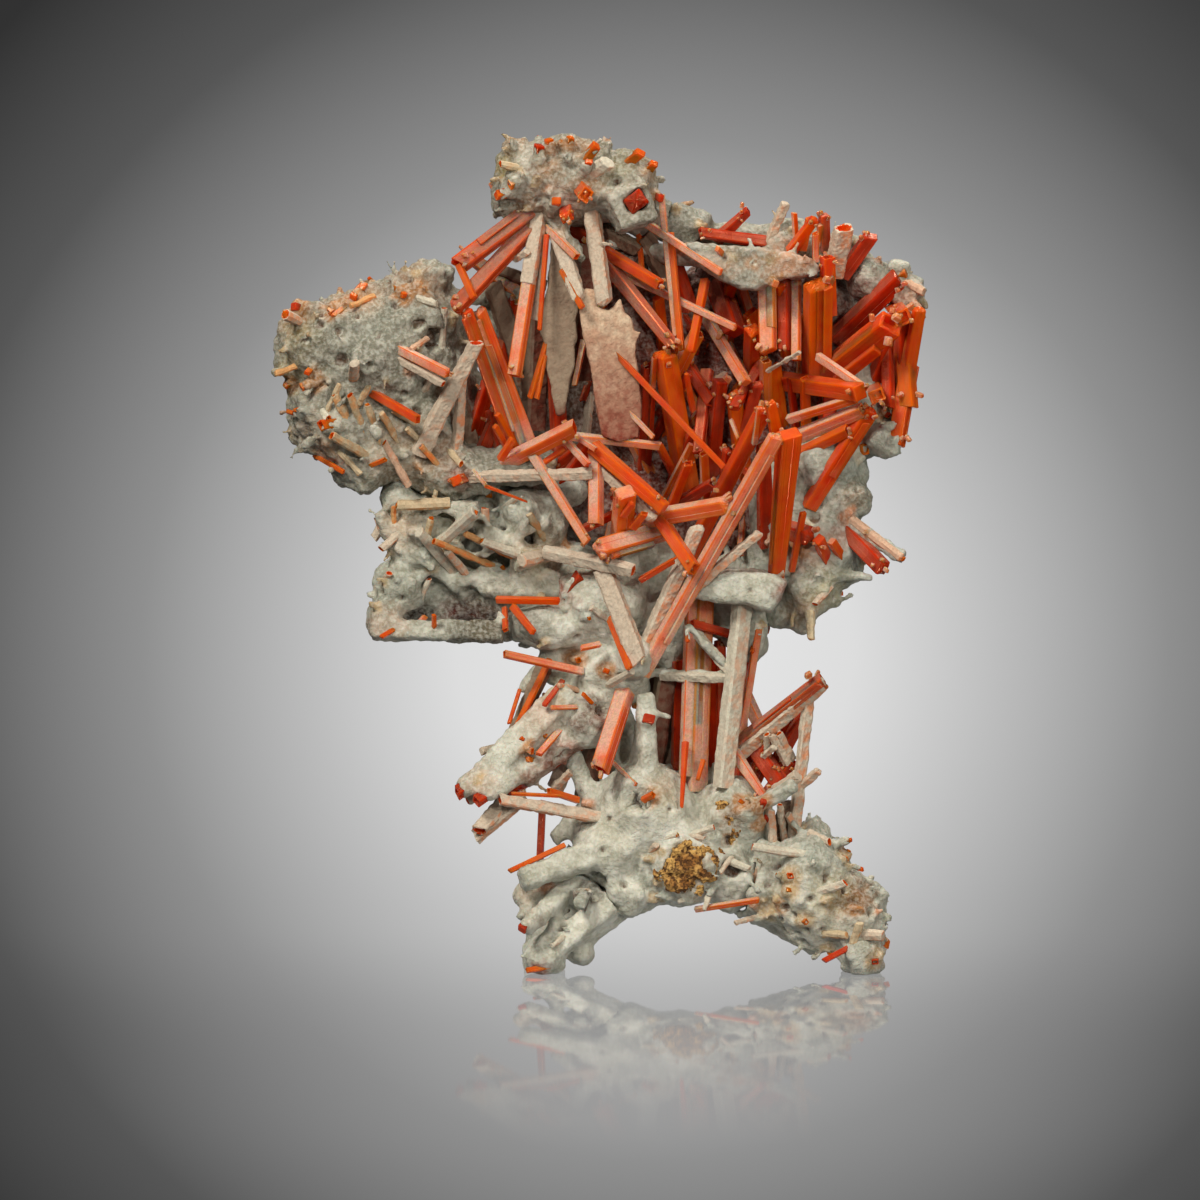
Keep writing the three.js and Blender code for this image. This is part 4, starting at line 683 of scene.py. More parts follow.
# Rods of the crust, besides the frame's: (root, tip, width)
RODS = {
    "left_foot": [((8, 2, 17), (-6.6, 0, 4.6), 8.2), ((-9, 0, 18.4), (-15.4, -3.6, 10.4), 5.4)],
    "base": [
        ((2, 2, 20), (-1, 1, 12), 6), ((-7, 2, 46), (-1, 1, 33), 6.4), ((-1, 3, 34), (-9.6, 2, 26), 6),
        ((12, 3, 14.6), (19, 3, 14), 5), ((7.4, 2.4, 35), (8.6, 0, 51), 5.8),
    ],
    "right_foot": [((30, 3, 11.6), (42, 2, 6), 5.4)],
    "waist": [
        ((-13, -1, 46.4), (-28, -8.5, 36.8), 6.6), ((-11, -2, 42.6), (-23.4, -9.2, 35.4), 5.8),
        ((-9, 5, 63), (-16, 2, 56), 4.4),
    ],
    "left_lattice": [
        ((-20, 4, 68), (-11, 5, 68.4), 5.4), ((-8, 5, 79), (-30, 2, 78.4), 5),
        ((-7, 5, 76), (-24, 2, 75.6), 3.6), ((-13, 3, 84), (-30, -1, 92), 3),
        ((-10, 2, 90), (-24, -1, 83), 2.8), ((-28, 3, 76), (-41, -1, 85), 3),
        ((-44, 1, 92), (-33, -2, 80), 2.8), ((-40, 2, 74), (-27, -1, 88), 2.6),
        ((-18, 2, 80), (-14, -2, 93), 2.6),
    ],
    "ridge": [
        ((1, 6, 145.8), (18, 3, 142.6), 4.8), ((12, 3, 143.4), (28, 2, 141), 6),
        ((22, 2, 141.2), (42, 1, 140.2), 6),
    ],
}

# Limonite on the front of the base: (x, z, radius)
CRUMBS = [(12.4, 20.6, 1.9), (14.6, 18.6, 2), (20.6, 24.2, 1.9), (21.6, 20.4, 1.9), (19.2, 17.4, 1.6),
          (17.4, 25.4, 1.7), (22.6, 22.4, 1.5), (24.4, 33.2, 1.4), (25.6, 31, 1.7), (27, 28.6, 1.5),
          (26.4, 26, 1.2), (24.2, 24.2, 1)]

# Crystals that fill the hollow: (left, right, low, high, how many are tried, finishes drawn from)
INNER = [
    (8, 34, 96, 134, 34, ("deep", "deep", "bare", "dusted")),
    (34, 58, 100, 134, 22, ("deep", "bare", "bare", "dusted")),
    (-6, 30, 84, 100, 16, ("deep", "bare", "dusted")),
    (-24, 4, 104, 136, 12, ("deep", "coated", "dusted")),
]

# Crystals that close the gaps behind the others, by the piece that they make up; those in the shaded and deep
# finishes stand as painted shade in the gaps
HIDDEN_CRYSTALS = {
    "trunk": [
        ("shaded_column", (9.4, 6, 36), (13.4, 4, 60), 5.2, "shaded", 0.9),
        ("shaded_red", (17.6, 8, 36), (17, 8, 64), 4, "deep", 1),
        ("shaded_right", (28, 8, 38), (28.6, 8, 66), 3, "deep", 1),
        ("gap_left", (-3, 8, 34), (0, 7, 54), 5, "shaded", 0.9),
        ("gap_middle", (13.2, 9, 36), (14.6, 9, 60), 4, "shaded", 1),
        ("gap_tower", (9.4, 8, 46), (10.8, 8, 66), 3.8, "shaded", 1),
        ("gap_right", (22.4, 8, 36), (22.6, 8, 62), 4, "deep", 1),
        ("shaded_left", (5, 7, 40), (1.4, 6, 56), 4, "deep", 0.9),
        ("band_under", (-3.6, 4, 47), (-19, -3, 36.6), 5.6, "deep", 0.9),
        ("band_grey", (-10.6, 3, 62), (-18, -1, 45.6), 4.2, "shaded", 0.8),
        ("band_back", (-4, 7, 50), (-9, 5, 36), 4.6, "coated", 0.9),
        ("stub_broad", (-16, 0, 37.4), (-24, -7, 28.6), 3.8, "coated", 0.95),
    ],
    "branch": [
        ("branch_broad", (27.6, 3, 44.6), (44.4, -5, 58.4), 4.8, "dusky", 0.85),
        ("branch_fill", (29, 6, 42), (38, 4, 52), 6, "deep", 0.9),
        ("branch_web", (29, 5, 55), (33.4, 0, 46), 3.4, "dusted", 0.8),
        ("lilac_back", (28.4, 6, 34), (33, 4, 43), 4.4, "dusky", 0.9),
        ("stem_back", (34.4, 5, 23), (37.8, 4, 34), 4, "shaded", 0.9),
        ("lilac_rod", (28, 2, 30.6), (39.4, -6, 39.6), 3.3, "coated", 0.9),
        ("lilac_leaf", (26.6, 0, 44), (32.6, -5, 35.4), 3, "dusted", 0.6),
        ("red_mass", (29.6, 4, 47), (36, -1, 37.6), 4.6, "deep", 0.9),
        ("red_mass_low", (33, 4, 34), (38.6, 1, 42), 4, "deep", 0.9),
        ("branch_dark", (35, 5, 41), (41, 3, 52), 3.4, "deep", 0.9),
        ("waist_level", (12, 1, 59.2), (26.8, -3, 58.8), 2.7, "pale", 0.95),
        ("waist_slant", (17.4, 1, 69.6), (26.4, -3.6, 59.4), 2.5, "pale", 0.9),
        ("white_stub", (33.4, 1, 43), (33.2, -3, 47.6), 1.7, "coated", 0.9),
        ("white_stub_right", (38.4, 1, 42.4), (35.6, -3, 47.8), 2, "coated", 0.9),
        ("thin_rod", (34.2, 0, 26), (33.4, -3, 33.8), 1.7, "coated", 0.9),
        ("thin_rod_right", (36.8, 1, 26), (35.8, -3, 33.6), 1.7, "coated", 0.9),
        ("thin_rod_low", (40.2, 0, 27), (37.4, -3, 31.6), 1.8, "coated", 0.9),
    ],
    "hollow": [
        ("fan_shade", (-15.6, 7, 120), (-21.4, 3, 137), 4.8, "shaded", 0.9),
        ("fan_shade_deep", (-20.6, 7, 116), (-17, 5, 134), 4, "deep", 0.9),
        ("fan_level", (-11, 7, 136.6), (-24, 3, 141), 3.4, "shaded", 0.9),
        ("fan_corner", (-16, 6, 135), (-27, 2, 143.4), 3.2, "dusted", 0.9),
        ("left_shade", (-27, 8, 102), (-22, 3, 118), 4, "deep", 0.9),
        ("left_shade_pale", (-24, 8, 99), (-28, 4, 114), 4, "shaded", 0.9),
        ("blade_shade", (-4.6, 7, 118), (-3, 5, 145), 7, "shaded", 0.9),
        ("blade_shade_left", (-13.4, 7, 108), (-12.4, 5, 131), 6, "shaded", 0.9),
        ("blade_deep", (-8, 6, 104), (-9, 3, 122), 4, "deep", 0.9),
        ("ridge_shade", (15, 7, 136), (8.6, 4, 147), 5, "shaded", 0.9),
        ("ridge_deep", (18, 7, 132), (14, 3, 144), 4, "deep", 0.9),
        ("elbow_gap", (-9, 9, 95), (-2, 5, 105), 5.4, "deep", 0.9),
        ("elbow_gap_left", (-13, 9, 98), (-5, 6, 103.6), 5, "deep", 0.9),
        ("knob_back", (-9, 5, 151), (-1, 4, 145.4), 4.4, "deep", 0.9),
        ("knob_back_right", (0, 6, 148), (8, 4, 144), 4.4, "shaded", 0.9),
        ("right_gap", (54, 7, 115), (58, 4, 127), 4.4, "deep", 0.9),
        ("right_gap_outer", (60, 5, 110), (60.4, 3, 131), 4.2, "deep", 0.9),
        ("fan_root_deep", (-19, 6, 101), (-21.6, 2, 112), 3.6, "deep", 0.9),
        ("right_edge", (61, 4, 117), (63.6, -1, 132.6), 3.4, "bare", 0.9),
        ("right_lobe_deep", (45, 8, 96), (49, 3, 110), 4, "deep", 0.9),
    ],
}

# How much of a piece's crust is darkened with the clay colour as painted shade, once its stains are on
PAINTED_SHADE_WASH = {"top_knob": 0.4, "left_lobe": 0.28, "ridge": 0.14, "right_foot": 0.1}

# Colours of the crust, as shown on a screen from 0 to 255; crest is painted light on its bumps
# crevice, dusk, clay, umber, mauve, maroon, shade and dark are painted shade: in hollows, pits, gaps, under
# the band and over whole pieces
TINTS = {
    "gibbsite": (176, 180, 168), "ivory": (210, 210, 196), "bone": (228, 228, 216), "sage": (148, 156, 144),
    "dusk": (110, 110, 98), "mauve_shade": (150, 104, 82), "clay_shade": (126, 104, 82), "maroon_shade": (84, 36, 26),
    "moss": (146, 148, 112), "yellow": (190, 170, 96), "amber": (196, 132, 66), "ochre": (128, 84, 34),
    "rust": (150, 66, 34), "umber_shade": (110, 74, 54), "dark": (50, 38, 28), "blush": (206, 164, 136),
    "peach": (216, 150, 110), "tan": (204, 176, 132), "brick": (128, 44, 22), "crevice_shade": (98, 84, 56),
    "crest": (200, 203, 194), "shade": (58, 46, 36),
}
DEEP_SHADES = ("shade", "maroon_shade")  # painted shade that lies deep in the crust; the others lie on its front

DUST = (228, 180, 158)

# Glassy finishes: (bright colour, dark colour, colour of the dust, how much dust, which is partly painted
# light, how clear, how rough, absorption)
GLASS_FINISHES = {
    "bare": ((255, 108, 12), (240, 35, 2), DUST, 0.17, 0.2, 0.1, 40),
    "dusted": ((255, 124, 34), (238, 56, 14), DUST, 1.4, 0.18, 0.15, 40),
    # deep: darker red glass, partly the colour of the crystals deep in the hollow and partly painted shade
    "deep": ((220, 60, 14), (146, 22, 8), (196, 128, 104), 0.6, 0.25, 0.1, 80),
    # dusky: a darker copy of the dusted glass, as painted shade
    "dusky": ((226, 88, 30), (160, 42, 12), (178, 124, 106), 1.3, 0.15, 0.2, 60),
    # tip: clearer and glossier glass, paler in colour as a painted sparkle
    "tip": ((255, 148, 84), (248, 76, 28), (248, 222, 206), 0.9, 0.4, 0.05, 30),
}

# Coated finishes: (light powder, dark powder, the crystal below, how thick the coat is, how worn)
COAT_FINISHES = {
    "coated": ((214, 206, 188), (192, 168, 146), (216, 146, 106), 1, 1),
    "blade": ((224, 202, 174), (172, 112, 78), (120, 40, 20), 0.85, 0.25),
    # shaded: a darker copy of the coat, as painted shade on fillers in the gaps and on the hanging blade
    "shaded": ((150, 134, 114), (118, 94, 78), (104, 44, 26), 0.9, 0.4),
    "pale": ((214, 212, 194), (196, 184, 166), (204, 168, 142), 1, 1),
    "tan": ((212, 196, 164), (188, 166, 132), (204, 148, 96), 1, 1),
    "peach": ((218, 184, 158), (200, 158, 130), (214, 128, 78), 1, 1),
    "amber": ((216, 166, 110), (196, 138, 84), (222, 116, 44), 1, 1),
}

# The tint of a coated stub that is melted into the crust
STUB_TINT = {"coated": "gibbsite", "pale": "ivory", "tan": "tan", "peach": "peach", "amber": "amber"}

# The slot of a piece, by the finish of its biggest crystal
SLOTS = {
    "bare": "bare_crocoite", "dusted": "dusted_crocoite", "dusky": "dusted_crocoite", "deep": "deep_crocoite",
    "coated": "coated_crocoite", "pale": "coated_crocoite",
}

# Model crystals: (cut corner, lengthwise steps in a side as (place, depth), slices)
MODELS = {
    "glass": (0.07, [(-0.26, 0), (-0.24, 0.018), (0.05, 0.018), (0.07, 0), (0.28, 0), (0.3, 0.012)], 5),
    "coat": (0.13, [(-0.18, 0), (0, 0), (0.18, 0)], 36),
    "stub": (0.1, [], 3),
    "tube": (0.28, [], 8),
}

SLIVERED = ("column_striped", "beam_big", "pillar", "right_big", "beam_pink", "fan_pink", "fan_orange",
            "branch_broad", "cross_box", "longest", "tower_left", "left_spray_upper", "right_long")
SLIVER_PAIR_WIDTH = 4.4  # from this width in mm, a slivered crystal has two slivers
SHARD_WIDTH = 2.4  # from this width, a glassy crystal has splinters at its tip
CLEAN_TIPS = ("inner", "stub", "loose", "band_end", "knob_core")  # but not one whose name starts so
FLAT_CRYSTALS = ("centre_blade", "hanging_blade")  # grown from BLADES instead
LOOSE_FINISHES = ("coated",) * 4 + ("pale",) * 3 + ("tan",) * 3 + ("peach", "amber", "dusted")
LONG_STUB = 5  # from this length in mm, a coated stub stands apart from the crust
RIM_WIDTH = 1.6  # from this width, a glassy stub stands in a coated rim
PALE_RIM_WIDTH = 2.3  # and from this one, its rim is pale
CORE_WIDTH = 1.8  # over this width, a coated stub may show a glassy core
CORE_CHANCE = 0.3
STUB_SINK = 1.2  # how deep the root of a loose stub lies in the crust, in mm
MOST_TRIES = 900  # to find places for the loose stubs of a piece
FLOOR_GAP = 0.004  # below this height in metres, no loose stub grows

MELT_VOXEL = 0.6  # grid in mm on which lumps and rods melt into the crust
CRUST_VOXEL = 0.45  # and the one for stubs
WALL_VOXEL = 0.62  # which is coarser on the back wall
FINE_VOXEL = 0.4  # the grid of the blades and the limonite
SIGHT_START = -0.2  # where lines of sight from the front begin, in metres

# Lights: (name, place in metres, size, power)
LIGHTS = [
    ("key", (-0.8, -1.2, 1.3), 0.5, 28),
    ("fill", (1.4, -1.5, 0.5), 0.9, 11),
    ("top", (0.3, 0.3, 1.5), 0.6, 15),
    ("glint", (-0.16, -1.1, 0.5), 0.03, 2.4),
    ("glint_right", (0.4, -1, 0.3), 0.03, 1.8),
]
LIGHTS_AIM = (0, 0, 0.09)
LIGHT_COLOUR = (1, 0.93, 0.83)
WORLD_COLOUR = (0.8, 0.76, 0.7, 1)
WORLD_STRENGTH = 0.1

# The camera and the stage, in metres
CAMERA_AWAY = 2.0
CAMERA_TILT = math.radians(2)
CAMERA_TARGET = Vector((0, 0, 0.074))
VIEWER = CAMERA_TARGET + Vector((0, -math.cos(CAMERA_TILT), math.sin(CAMERA_TILT))) * CAMERA_AWAY

FLOOR_SIDE = 4  # how far the floor runs to the sides and to the front, in metres
FLOOR_BACK = 3  # and to the back, where the sweep begins
FLOOR_DROP = 0.0001
SWEEP_RADIUS = 0.9
WALL_HEIGHT = 3

GLOW_SLOPE = (0.0055, 1, -0.0399)  # the way from the camera to the middle of the glow, at a depth of 1
GLOW_REACH = 0.09  # from its middle to its edge, at that depth
GLOW_MIDDLE = 232
GLOW_EDGE = 50
GLOW_STOPS = [(0.22, 221), (0.38, 189), (0.57, 143), (0.8, 86)]  # greys at shares of the reach
MIRRORED_ABOVE = 0.3  # the backdrop above this height is out of the picture, and only seen in the floor
MIRRORED_TOP = 0.6
MIRRORED_LIFT = (0.0705, 0.052)  # how far up the glow's middle lies for the floor at those two heights
GLOSS = 0.5  # share of the floor's light that is mirrored near the feet
GLOSS_REACH = 0.4  # how far the gloss of the floor runs to the front, in metres
GLOSS_FOOT = 0.03  # it is full up to here behind and in front of the feet
GLOSS_BACK = 0.2  # and gone here
GLOSS_TILT = -0.025  # the slope of the glossy floor, which shortens what it mirrors


def place(point):
    """A point of the tables, in the frame in metres."""
    x, y, z = point
    return Vector((x, y - MIDDLE_DEPTH, z)) * MM


def table_point(point):
    """The other way round: a point of the frame, as the tables give it."""
    return tuple(point / MM + Vector((0, MIDDLE_DEPTH, 0)))


def table_depth(point):
    return point.y / MM + MIDDLE_DEPTH


def scatter(x, y, z, seed):
    """A repeatable number from 0 to 1 for a point and a seed."""
    wave = math.sin(x * 12.9898 + y * 78.233 + z * 37.719 + seed * 4.1414) * 43758.5453
    return wave - math.floor(wave)


def linear(screen):
    """The linear colour of a screen colour from 0 to 255."""
    return [((c / 255 + 0.055) / 1.055) ** 2.4 if c > 10 else c / 255 / 12.92 for c in screen]


def colour(screen):
    return (*linear(screen), 1)


def grey(level):
    return colour((level, level, level))


# Working in Blender


def pick(obj):
    bpy.ops.object.select_all(action="DESELECT")
    obj.select_set(True)
    bpy.context.view_layer.objects.active = obj


def edit(obj):
    """Enters edit mode with the whole mesh selected."""
    pick(obj)
    bpy.ops.object.mode_set(mode="EDIT")
    bpy.ops.mesh.select_all(action="SELECT")


def leave_edit():
    bpy.ops.object.mode_set(mode="OBJECT")


def apply_modifier(obj, kind, **settings):
    pick(obj)
    modifier = obj.modifiers.new(kind.title(), kind)
    for name, value in settings.items():
        setattr(modifier, name, value)
    bpy.ops.object.modifier_apply(modifier=modifier.name)


def join(pieces):
    """The pieces as one object."""
    pick(pieces[0])
    for piece in pieces[1:]:
        piece.select_set(True)
    bpy.ops.object.join()
    return bpy.context.object


def link(mesh):
    obj = bpy.data.objects.new(mesh.name, mesh)
    bpy.context.scene.collection.objects.link(obj)
    return obj


def vectors_of(items, field):
    """A field of all vertices or faces of a mesh, as rows of three."""
    values = np.empty(len(items) * 3)
    items.foreach_get(field, values)
    return values.reshape(-1, 3)


def points_of(mesh):
    return vectors_of(mesh.vertices, "co")


def normals_of(mesh):
    return vectors_of(mesh.vertices, "normal")


def set_points(mesh, points):
    mesh.vertices.foreach_set("co", points.ravel())
    mesh.update()


def put_attribute(mesh, name, kind, domain, values):
    """A new attribute of a mesh that its material reads."""
    layer = mesh.attributes.new(name, kind, domain)
    values = np.asarray(values, dtype=np.float32)
    field = {"FLOAT": "value", "FLOAT_COLOR": "color", "FLOAT_VECTOR": "vector"}[kind]
    layer.data.foreach_set(field, values.ravel())


def turned(points, angle):
    """The points' x and z, turned about Y."""
    x, z = points[:, 0], points[:, 2]
    return x * math.cos(angle) + z * math.sin(angle), z * math.cos(angle) - x * math.sin(angle)


def relief(name, kind, size, **settings):
    """A texture that shapes a surface, with features of that size in mm."""
    texture = bpy.data.textures.new(name, kind)
    texture.noise_scale = size * MM
    for key, value in settings.items():
        setattr(texture, key, value)
    return texture


def displace(obj, texture, height, middle):
    apply_modifier(obj, "DISPLACE", texture=texture, strength=height * MM, texture_coords="LOCAL",
                   mid_level=middle)


def roughen(obj, size, height, name):
    displace(obj, relief(name, "CLOUDS", size), height, 0.5)


def melt(obj, voxel, rounds):
    """Makes one closed skin round all parts of a mesh, and smooths it."""
    apply_modifier(obj, "REMESH", mode="VOXEL", voxel_size=voxel * MM)
    apply_modifier(obj, "SMOOTH", factor=0.5, iterations=rounds)


def shade_smooth(obj):
    for face in obj.data.polygons:
        face.use_smooth = True


def finish_piece(obj, name, slot, *nodes):
    """Names a piece, gives it its body and hides the nodes of the frame that it stands for; its slot is not
    used.
    """
    obj.name = name
    obj.data.name = name
    if nodes:
        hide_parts(*nodes)
    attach(obj, "root")


# Materials


def shader(name):
    """A new material with its node tree and main shader."""
    material = bpy.data.materials.new(name)
    material.use_nodes = True
    tree = material.node_tree
    return material, tree, tree.nodes["Principled BSDF"]


def add_node(tree, kind, settings=None, **links):
    """A node with its settings, and its inputs linked to sockets or set to values."""
    node = tree.nodes.new(kind)
    for key, value in (settings or {}).items():
        setattr(node, key, value)
    for key, value in links.items():
        socket = node.inputs[int(key[1:])] if key[0] == "i" and key[1:].isdigit() else node.inputs[key]
        if isinstance(value, bpy.types.NodeSocket):
            tree.links.new(value, socket)
        else:
            socket.default_value = value
    return node


def attribute(tree, name, output="Fac"):
    return add_node(tree, "ShaderNodeAttribute", {"attribute_name": name}).outputs[output]


def object_place(tree):
    return add_node(tree, "ShaderNodeTexCoord").outputs["Object"]


def object_noise(tree, size, detail=3.0, roughness=0.55):
    """Noise whose blotches are about that size in mm."""
    spot = object_place(tree)
    scale = 1 / (size * MM)
    node = add_node(tree, "ShaderNodeTexNoise", Vector=spot, Scale=scale, Detail=detail, Roughness=roughness)
    return node.outputs["Fac"]


def growth_lines(tree, across, along):
    """Noise drawn out along a crystal."""
    grain = attribute(tree, "grain", "Vector")
    lines = add_node(tree, "ShaderNodeMapping", Vector=grain, Scale=(across, along, 1)).outputs[0]
    return add_node(tree, "ShaderNodeTexNoise", Vector=lines, Scale=1.0, Detail=2.0).outputs["Fac"]


def ramp(tree, value, low, high, dark=0.0, light=1.0):
    """A value stretched from low..high to dark..light, smoothly."""
    node = add_node(tree, "ShaderNodeMapRange", {"interpolation_type": "SMOOTHSTEP"},
                    i0=value, i1=low, i2=high, i3=dark, i4=light)
    return node.outputs[0]


def math_node(tree, operation, a, b):
    """A sum, a product or a comparison, held between 0 and 1."""
    node = add_node(tree, "ShaderNodeMath", {"operation": operation, "use_clamp": True}, i0=a, i1=b)
    return node.outputs[0]


def times(tree, a, b):
    return math_node(tree, "MULTIPLY", a, b)


def plus(tree, a, b):
    return math_node(tree, "ADD", a, b)


def vector_node(tree, operation, a, b):
    return add_node(tree, "ShaderNodeVectorMath", {"operation": operation}, i0=a, i1=b)


def blend(tree, factor, a, b, mode="MIX"):
    """The colour a, turned to b by the factor."""
    node = add_node(tree, "ShaderNodeMix", {"data_type": "RGBA", "blend_type": mode}, i0=factor, i6=a, i7=b)
    return node.outputs[2]


def bumped(tree, main, height, strength, distance):
    """Fine relief in the shading, as deep as the distance in mm."""
    bump = add_node(tree, "ShaderNodeBump", Height=height, Strength=strength, Distance=distance * MM)
    tree.links.new(bump.outputs["Normal"], main.inputs["Normal"])


def set_inputs(main, **values):
    """Sets constants on a shader's own sockets."""
    for name, value in values.items():
        main.inputs[name.replace("_", " ")].default_value = value


def gibbsite_material():
    """Chalky grey-green crust with sugary grain, mottled, and stained and painted with light and shade where
    its tint says.
    """
    material, tree, main = shader("gibbsite_crust")
    tint = attribute(tree, "tint", "Color")
    broad = ramp(tree, object_noise(tree, 3.2), 0.3, 0.7)
    fine = ramp(tree, object_noise(tree, 0.7, 4), 0.35, 0.7)
    shaded = blend(tree, broad, blend(tree, 1.0, tint, colour((206, 205, 196)), "MULTIPLY"), tint)
    pale = blend(tree, 0.3, shaded, colour((226, 228, 220)))
    tree.links.new(blend(tree, fine, shaded, pale), main.inputs["Base Color"])
    bumped(tree, main, plus(tree, object_noise(tree, 0.45, 4, 0.7), fine), 0.7, 0.28)
    set_inputs(main, Roughness=0.82, Specular_IOR_Level=0.35, Subsurface_Weight=0.12,
               Subsurface_Scale=0.8 * MM)
    return material


def glass_colour(tree, bright, dark):
    """Streaks and clouds between two colours, brighter at the crystal's edges as painted light shining
    through them.
    """
    streaks = ramp(tree, growth_lines(tree, 1.6, 0.05), 0.3, 0.75)
    clouds = ramp(tree, object_noise(tree, 4), 0.3, 0.7)
    depth = plus(tree, times(tree, streaks, 0.22), times(tree, clouds, 0.4))
    depth = plus(tree, depth, times(tree, attribute(tree, "tone"), 0.45))
    # painted light: the crystal is brighter towards its edges
    depth = math_node(tree, "SUBTRACT", depth, times(tree, attribute(tree, "rim"), 0.4))
    return blend(tree, depth, colour(bright), colour(dark))


def dust_and_light_cover(tree, sugar, dusting):
    """Where dust covers a crystal: at its root, and on its faces turned to the light as partly painted light,
    worn off its edges and towards its tip.
    """
    reach = attribute(tree, "reach")
    patches = ramp(tree, object_noise(tree, 3.4, 3), 0.25, 0.6, 0.45, 1)
    worn = times(tree, patches, ramp(tree, reach, 0.35, 1.0, 1, 0.5))
    edge = ramp(tree, plus(tree, attribute(tree, "rim"), times(tree, sugar, 0.2)), 0.8, 1.0, 1, 0.05)
    on_faces = times(tree, times(tree, attribute(tree, "dust"), worn), edge)
    at_root = times(tree, ramp(tree, reach, 0.02, 0.35, 0.7, 0), patches)
    return times(tree, math_node(tree, "MAXIMUM", on_faces, at_root), dusting)


def crystal_material(name, bright, dark, dust, dusting, clear, roughness, absorption):
    """A glassy finish: orange between two colours, under sugary dust that is partly painted light on the
    faces turned to the light.
    """
    material, tree, main = shader(name)
    sugar = object_noise(tree, 0.5, 4, 0.7)
    cover = dust_and_light_cover(tree, sugar, dusting)
    dim_dust = [channel * 0.84 for channel in dust]
    powder = blend(tree, ramp(tree, sugar, 0.3, 0.7), colour(dim_dust), colour(dust))
    tree.links.new(blend(tree, cover, glass_colour(tree, bright, dark), powder), main.inputs["Base Color"])
    tree.links.new(ramp(tree, cover, 0, 1, roughness, 0.65), main.inputs["Roughness"])
    tree.links.new(ramp(tree, cover, 0, 0.8, clear, 0), main.inputs["Transmission Weight"])
    grooves = times(tree, growth_lines(tree, 4, 0.1), 0.4)
    bumped(tree, main, plus(tree, grooves, times(tree, cover, times(tree, sugar, 0.8))), 0.45, 0.16)
    set_inputs(main, IOR=1.5, Specular_IOR_Level=0.4, Specular_Tint=colour((255, 200, 150)),
               Subsurface_Weight=0.7, Subsurface_Scale=3 * MM, Subsurface_Radius=(1.0, 0.24, 0.06))
    inside = add_node(tree, "ShaderNodeVolumeAbsorption", Color=colour(bright), Density=absorption)
    tree.links.new(inside.outputs[0], tree.nodes["Material Output"].inputs["Volume"])
    return material


def coated_material(name, light, dark, under, thickness, wear):
    """Pale gibbsite over a crystal, thicker on faces turned to the light as partly painted light and towards
    a blade's top, thin where it is worn, where the orange below comes through.
    """
    material, tree, main = shader(name)
    broad = ramp(tree, object_noise(tree, 3), 0.3, 0.7)
    mottle = times(tree, plus(tree, broad, attribute(tree, "tone")), 0.5)
    coat = blend(tree, mottle, colour(light), colour(dark))
    worn = ramp(tree, object_noise(tree, 1.6, 4), 0.35, 0.62)
    cover = plus(tree, times(tree, attribute(tree, "dust"), thickness), times(tree, worn, wear))
    fine = ramp(tree, object_noise(tree, 0.5, 4), 0.3, 0.7)
    sugar = blend(tree, fine, blend(tree, 0.25, coat, colour((120, 100, 76))), coat)
    tree.links.new(blend(tree, cover, colour(under), sugar), main.inputs["Base Color"])
    bumped(tree, main, plus(tree, fine, object_noise(tree, 0.3, 3)), 0.55, 0.22)
    set_inputs(main, Roughness=0.75, Specular_IOR_Level=0.4, Subsurface_Weight=0.15,
               Subsurface_Scale=1.0 * MM, Subsurface_Radius=(1.0, 0.6, 0.45))
    return material


def limonite_material():
    """Earthy golden crumbs with brown gaps."""
    material, tree, main = shader("limonite")
    broad = ramp(tree, object_noise(tree, 3, 4), 0.35, 0.65)
    fine = ramp(tree, object_noise(tree, 0.9, 4, 0.7), 0.38, 0.56)
    earth = blend(tree, broad, colour((150, 100, 44)), colour((206, 166, 96)))
    tree.links.new(blend(tree, fine, colour((84, 50, 20)), earth), main.inputs["Base Color"])
    bumped(tree, main, plus(tree, fine, broad), 0.9, 0.5)
    set_inputs(main, Roughness=0.92)
    return material


def make_materials():
    glass = {finish: crystal_material(f"crocoite_{finish}", *look) for finish, look in GLASS_FINISHES.items()}
    coats = {finish: coated_material(f"crocoite_{finish}", *look) for finish, look in COAT_FINISHES.items()}
    return glass | coats | {"crust": gibbsite_material(), "limonite": limonite_material()}


# Model crystals, which every crystal is a stretched copy of


def square_outline(corner, steps):
    """Points round a square of side 1 with cut corners, and steps in each of its sides."""
    edge = 0.5 - corner
    side = [(-edge, 0.5)] + [(along, 0.5 - depth) for along, depth in steps] + [(edge, 0.5)]
    points = []
    for quarter in range(4):
        turn = Matrix.Rotation(-quarter * math.pi / 2, 2)
        points += [turn @ Vector(point) for point in side]
    return [Vector((p.x, 0, p.y)) for p in points]


def outline_face(name, points):
    """A flat face through the points, from a circle with as many corners."""
    bpy.ops.mesh.primitive_circle_add(vertices=len(points), fill_type="NGON")
    obj = bpy.context.object
    obj.name = name
    for vertex, point in zip(obj.data.vertices, points):
        vertex.co = point
    return obj


def draw_out(length, scale=1.0):
    """Extrudes the selected end of a model crystal and narrows it."""
    bpy.ops.mesh.extrude_region_move(TRANSFORM_OT_translate={"value": (0, length, 0)})
    if scale != 1:
        bpy.ops.transform.resize(value=(scale, 1, scale))


def square_end():
    draw_out(TIP * 0.8)
    draw_out(TIP * 0.2, 0.86)


def hollow_end():
    draw_out(TIP * 0.9)
    draw_out(TIP * 0.1, 0.9)
    draw_out(-0.02, 0.78)
    draw_out(-HOLLOW_DEPTH, 0.92)


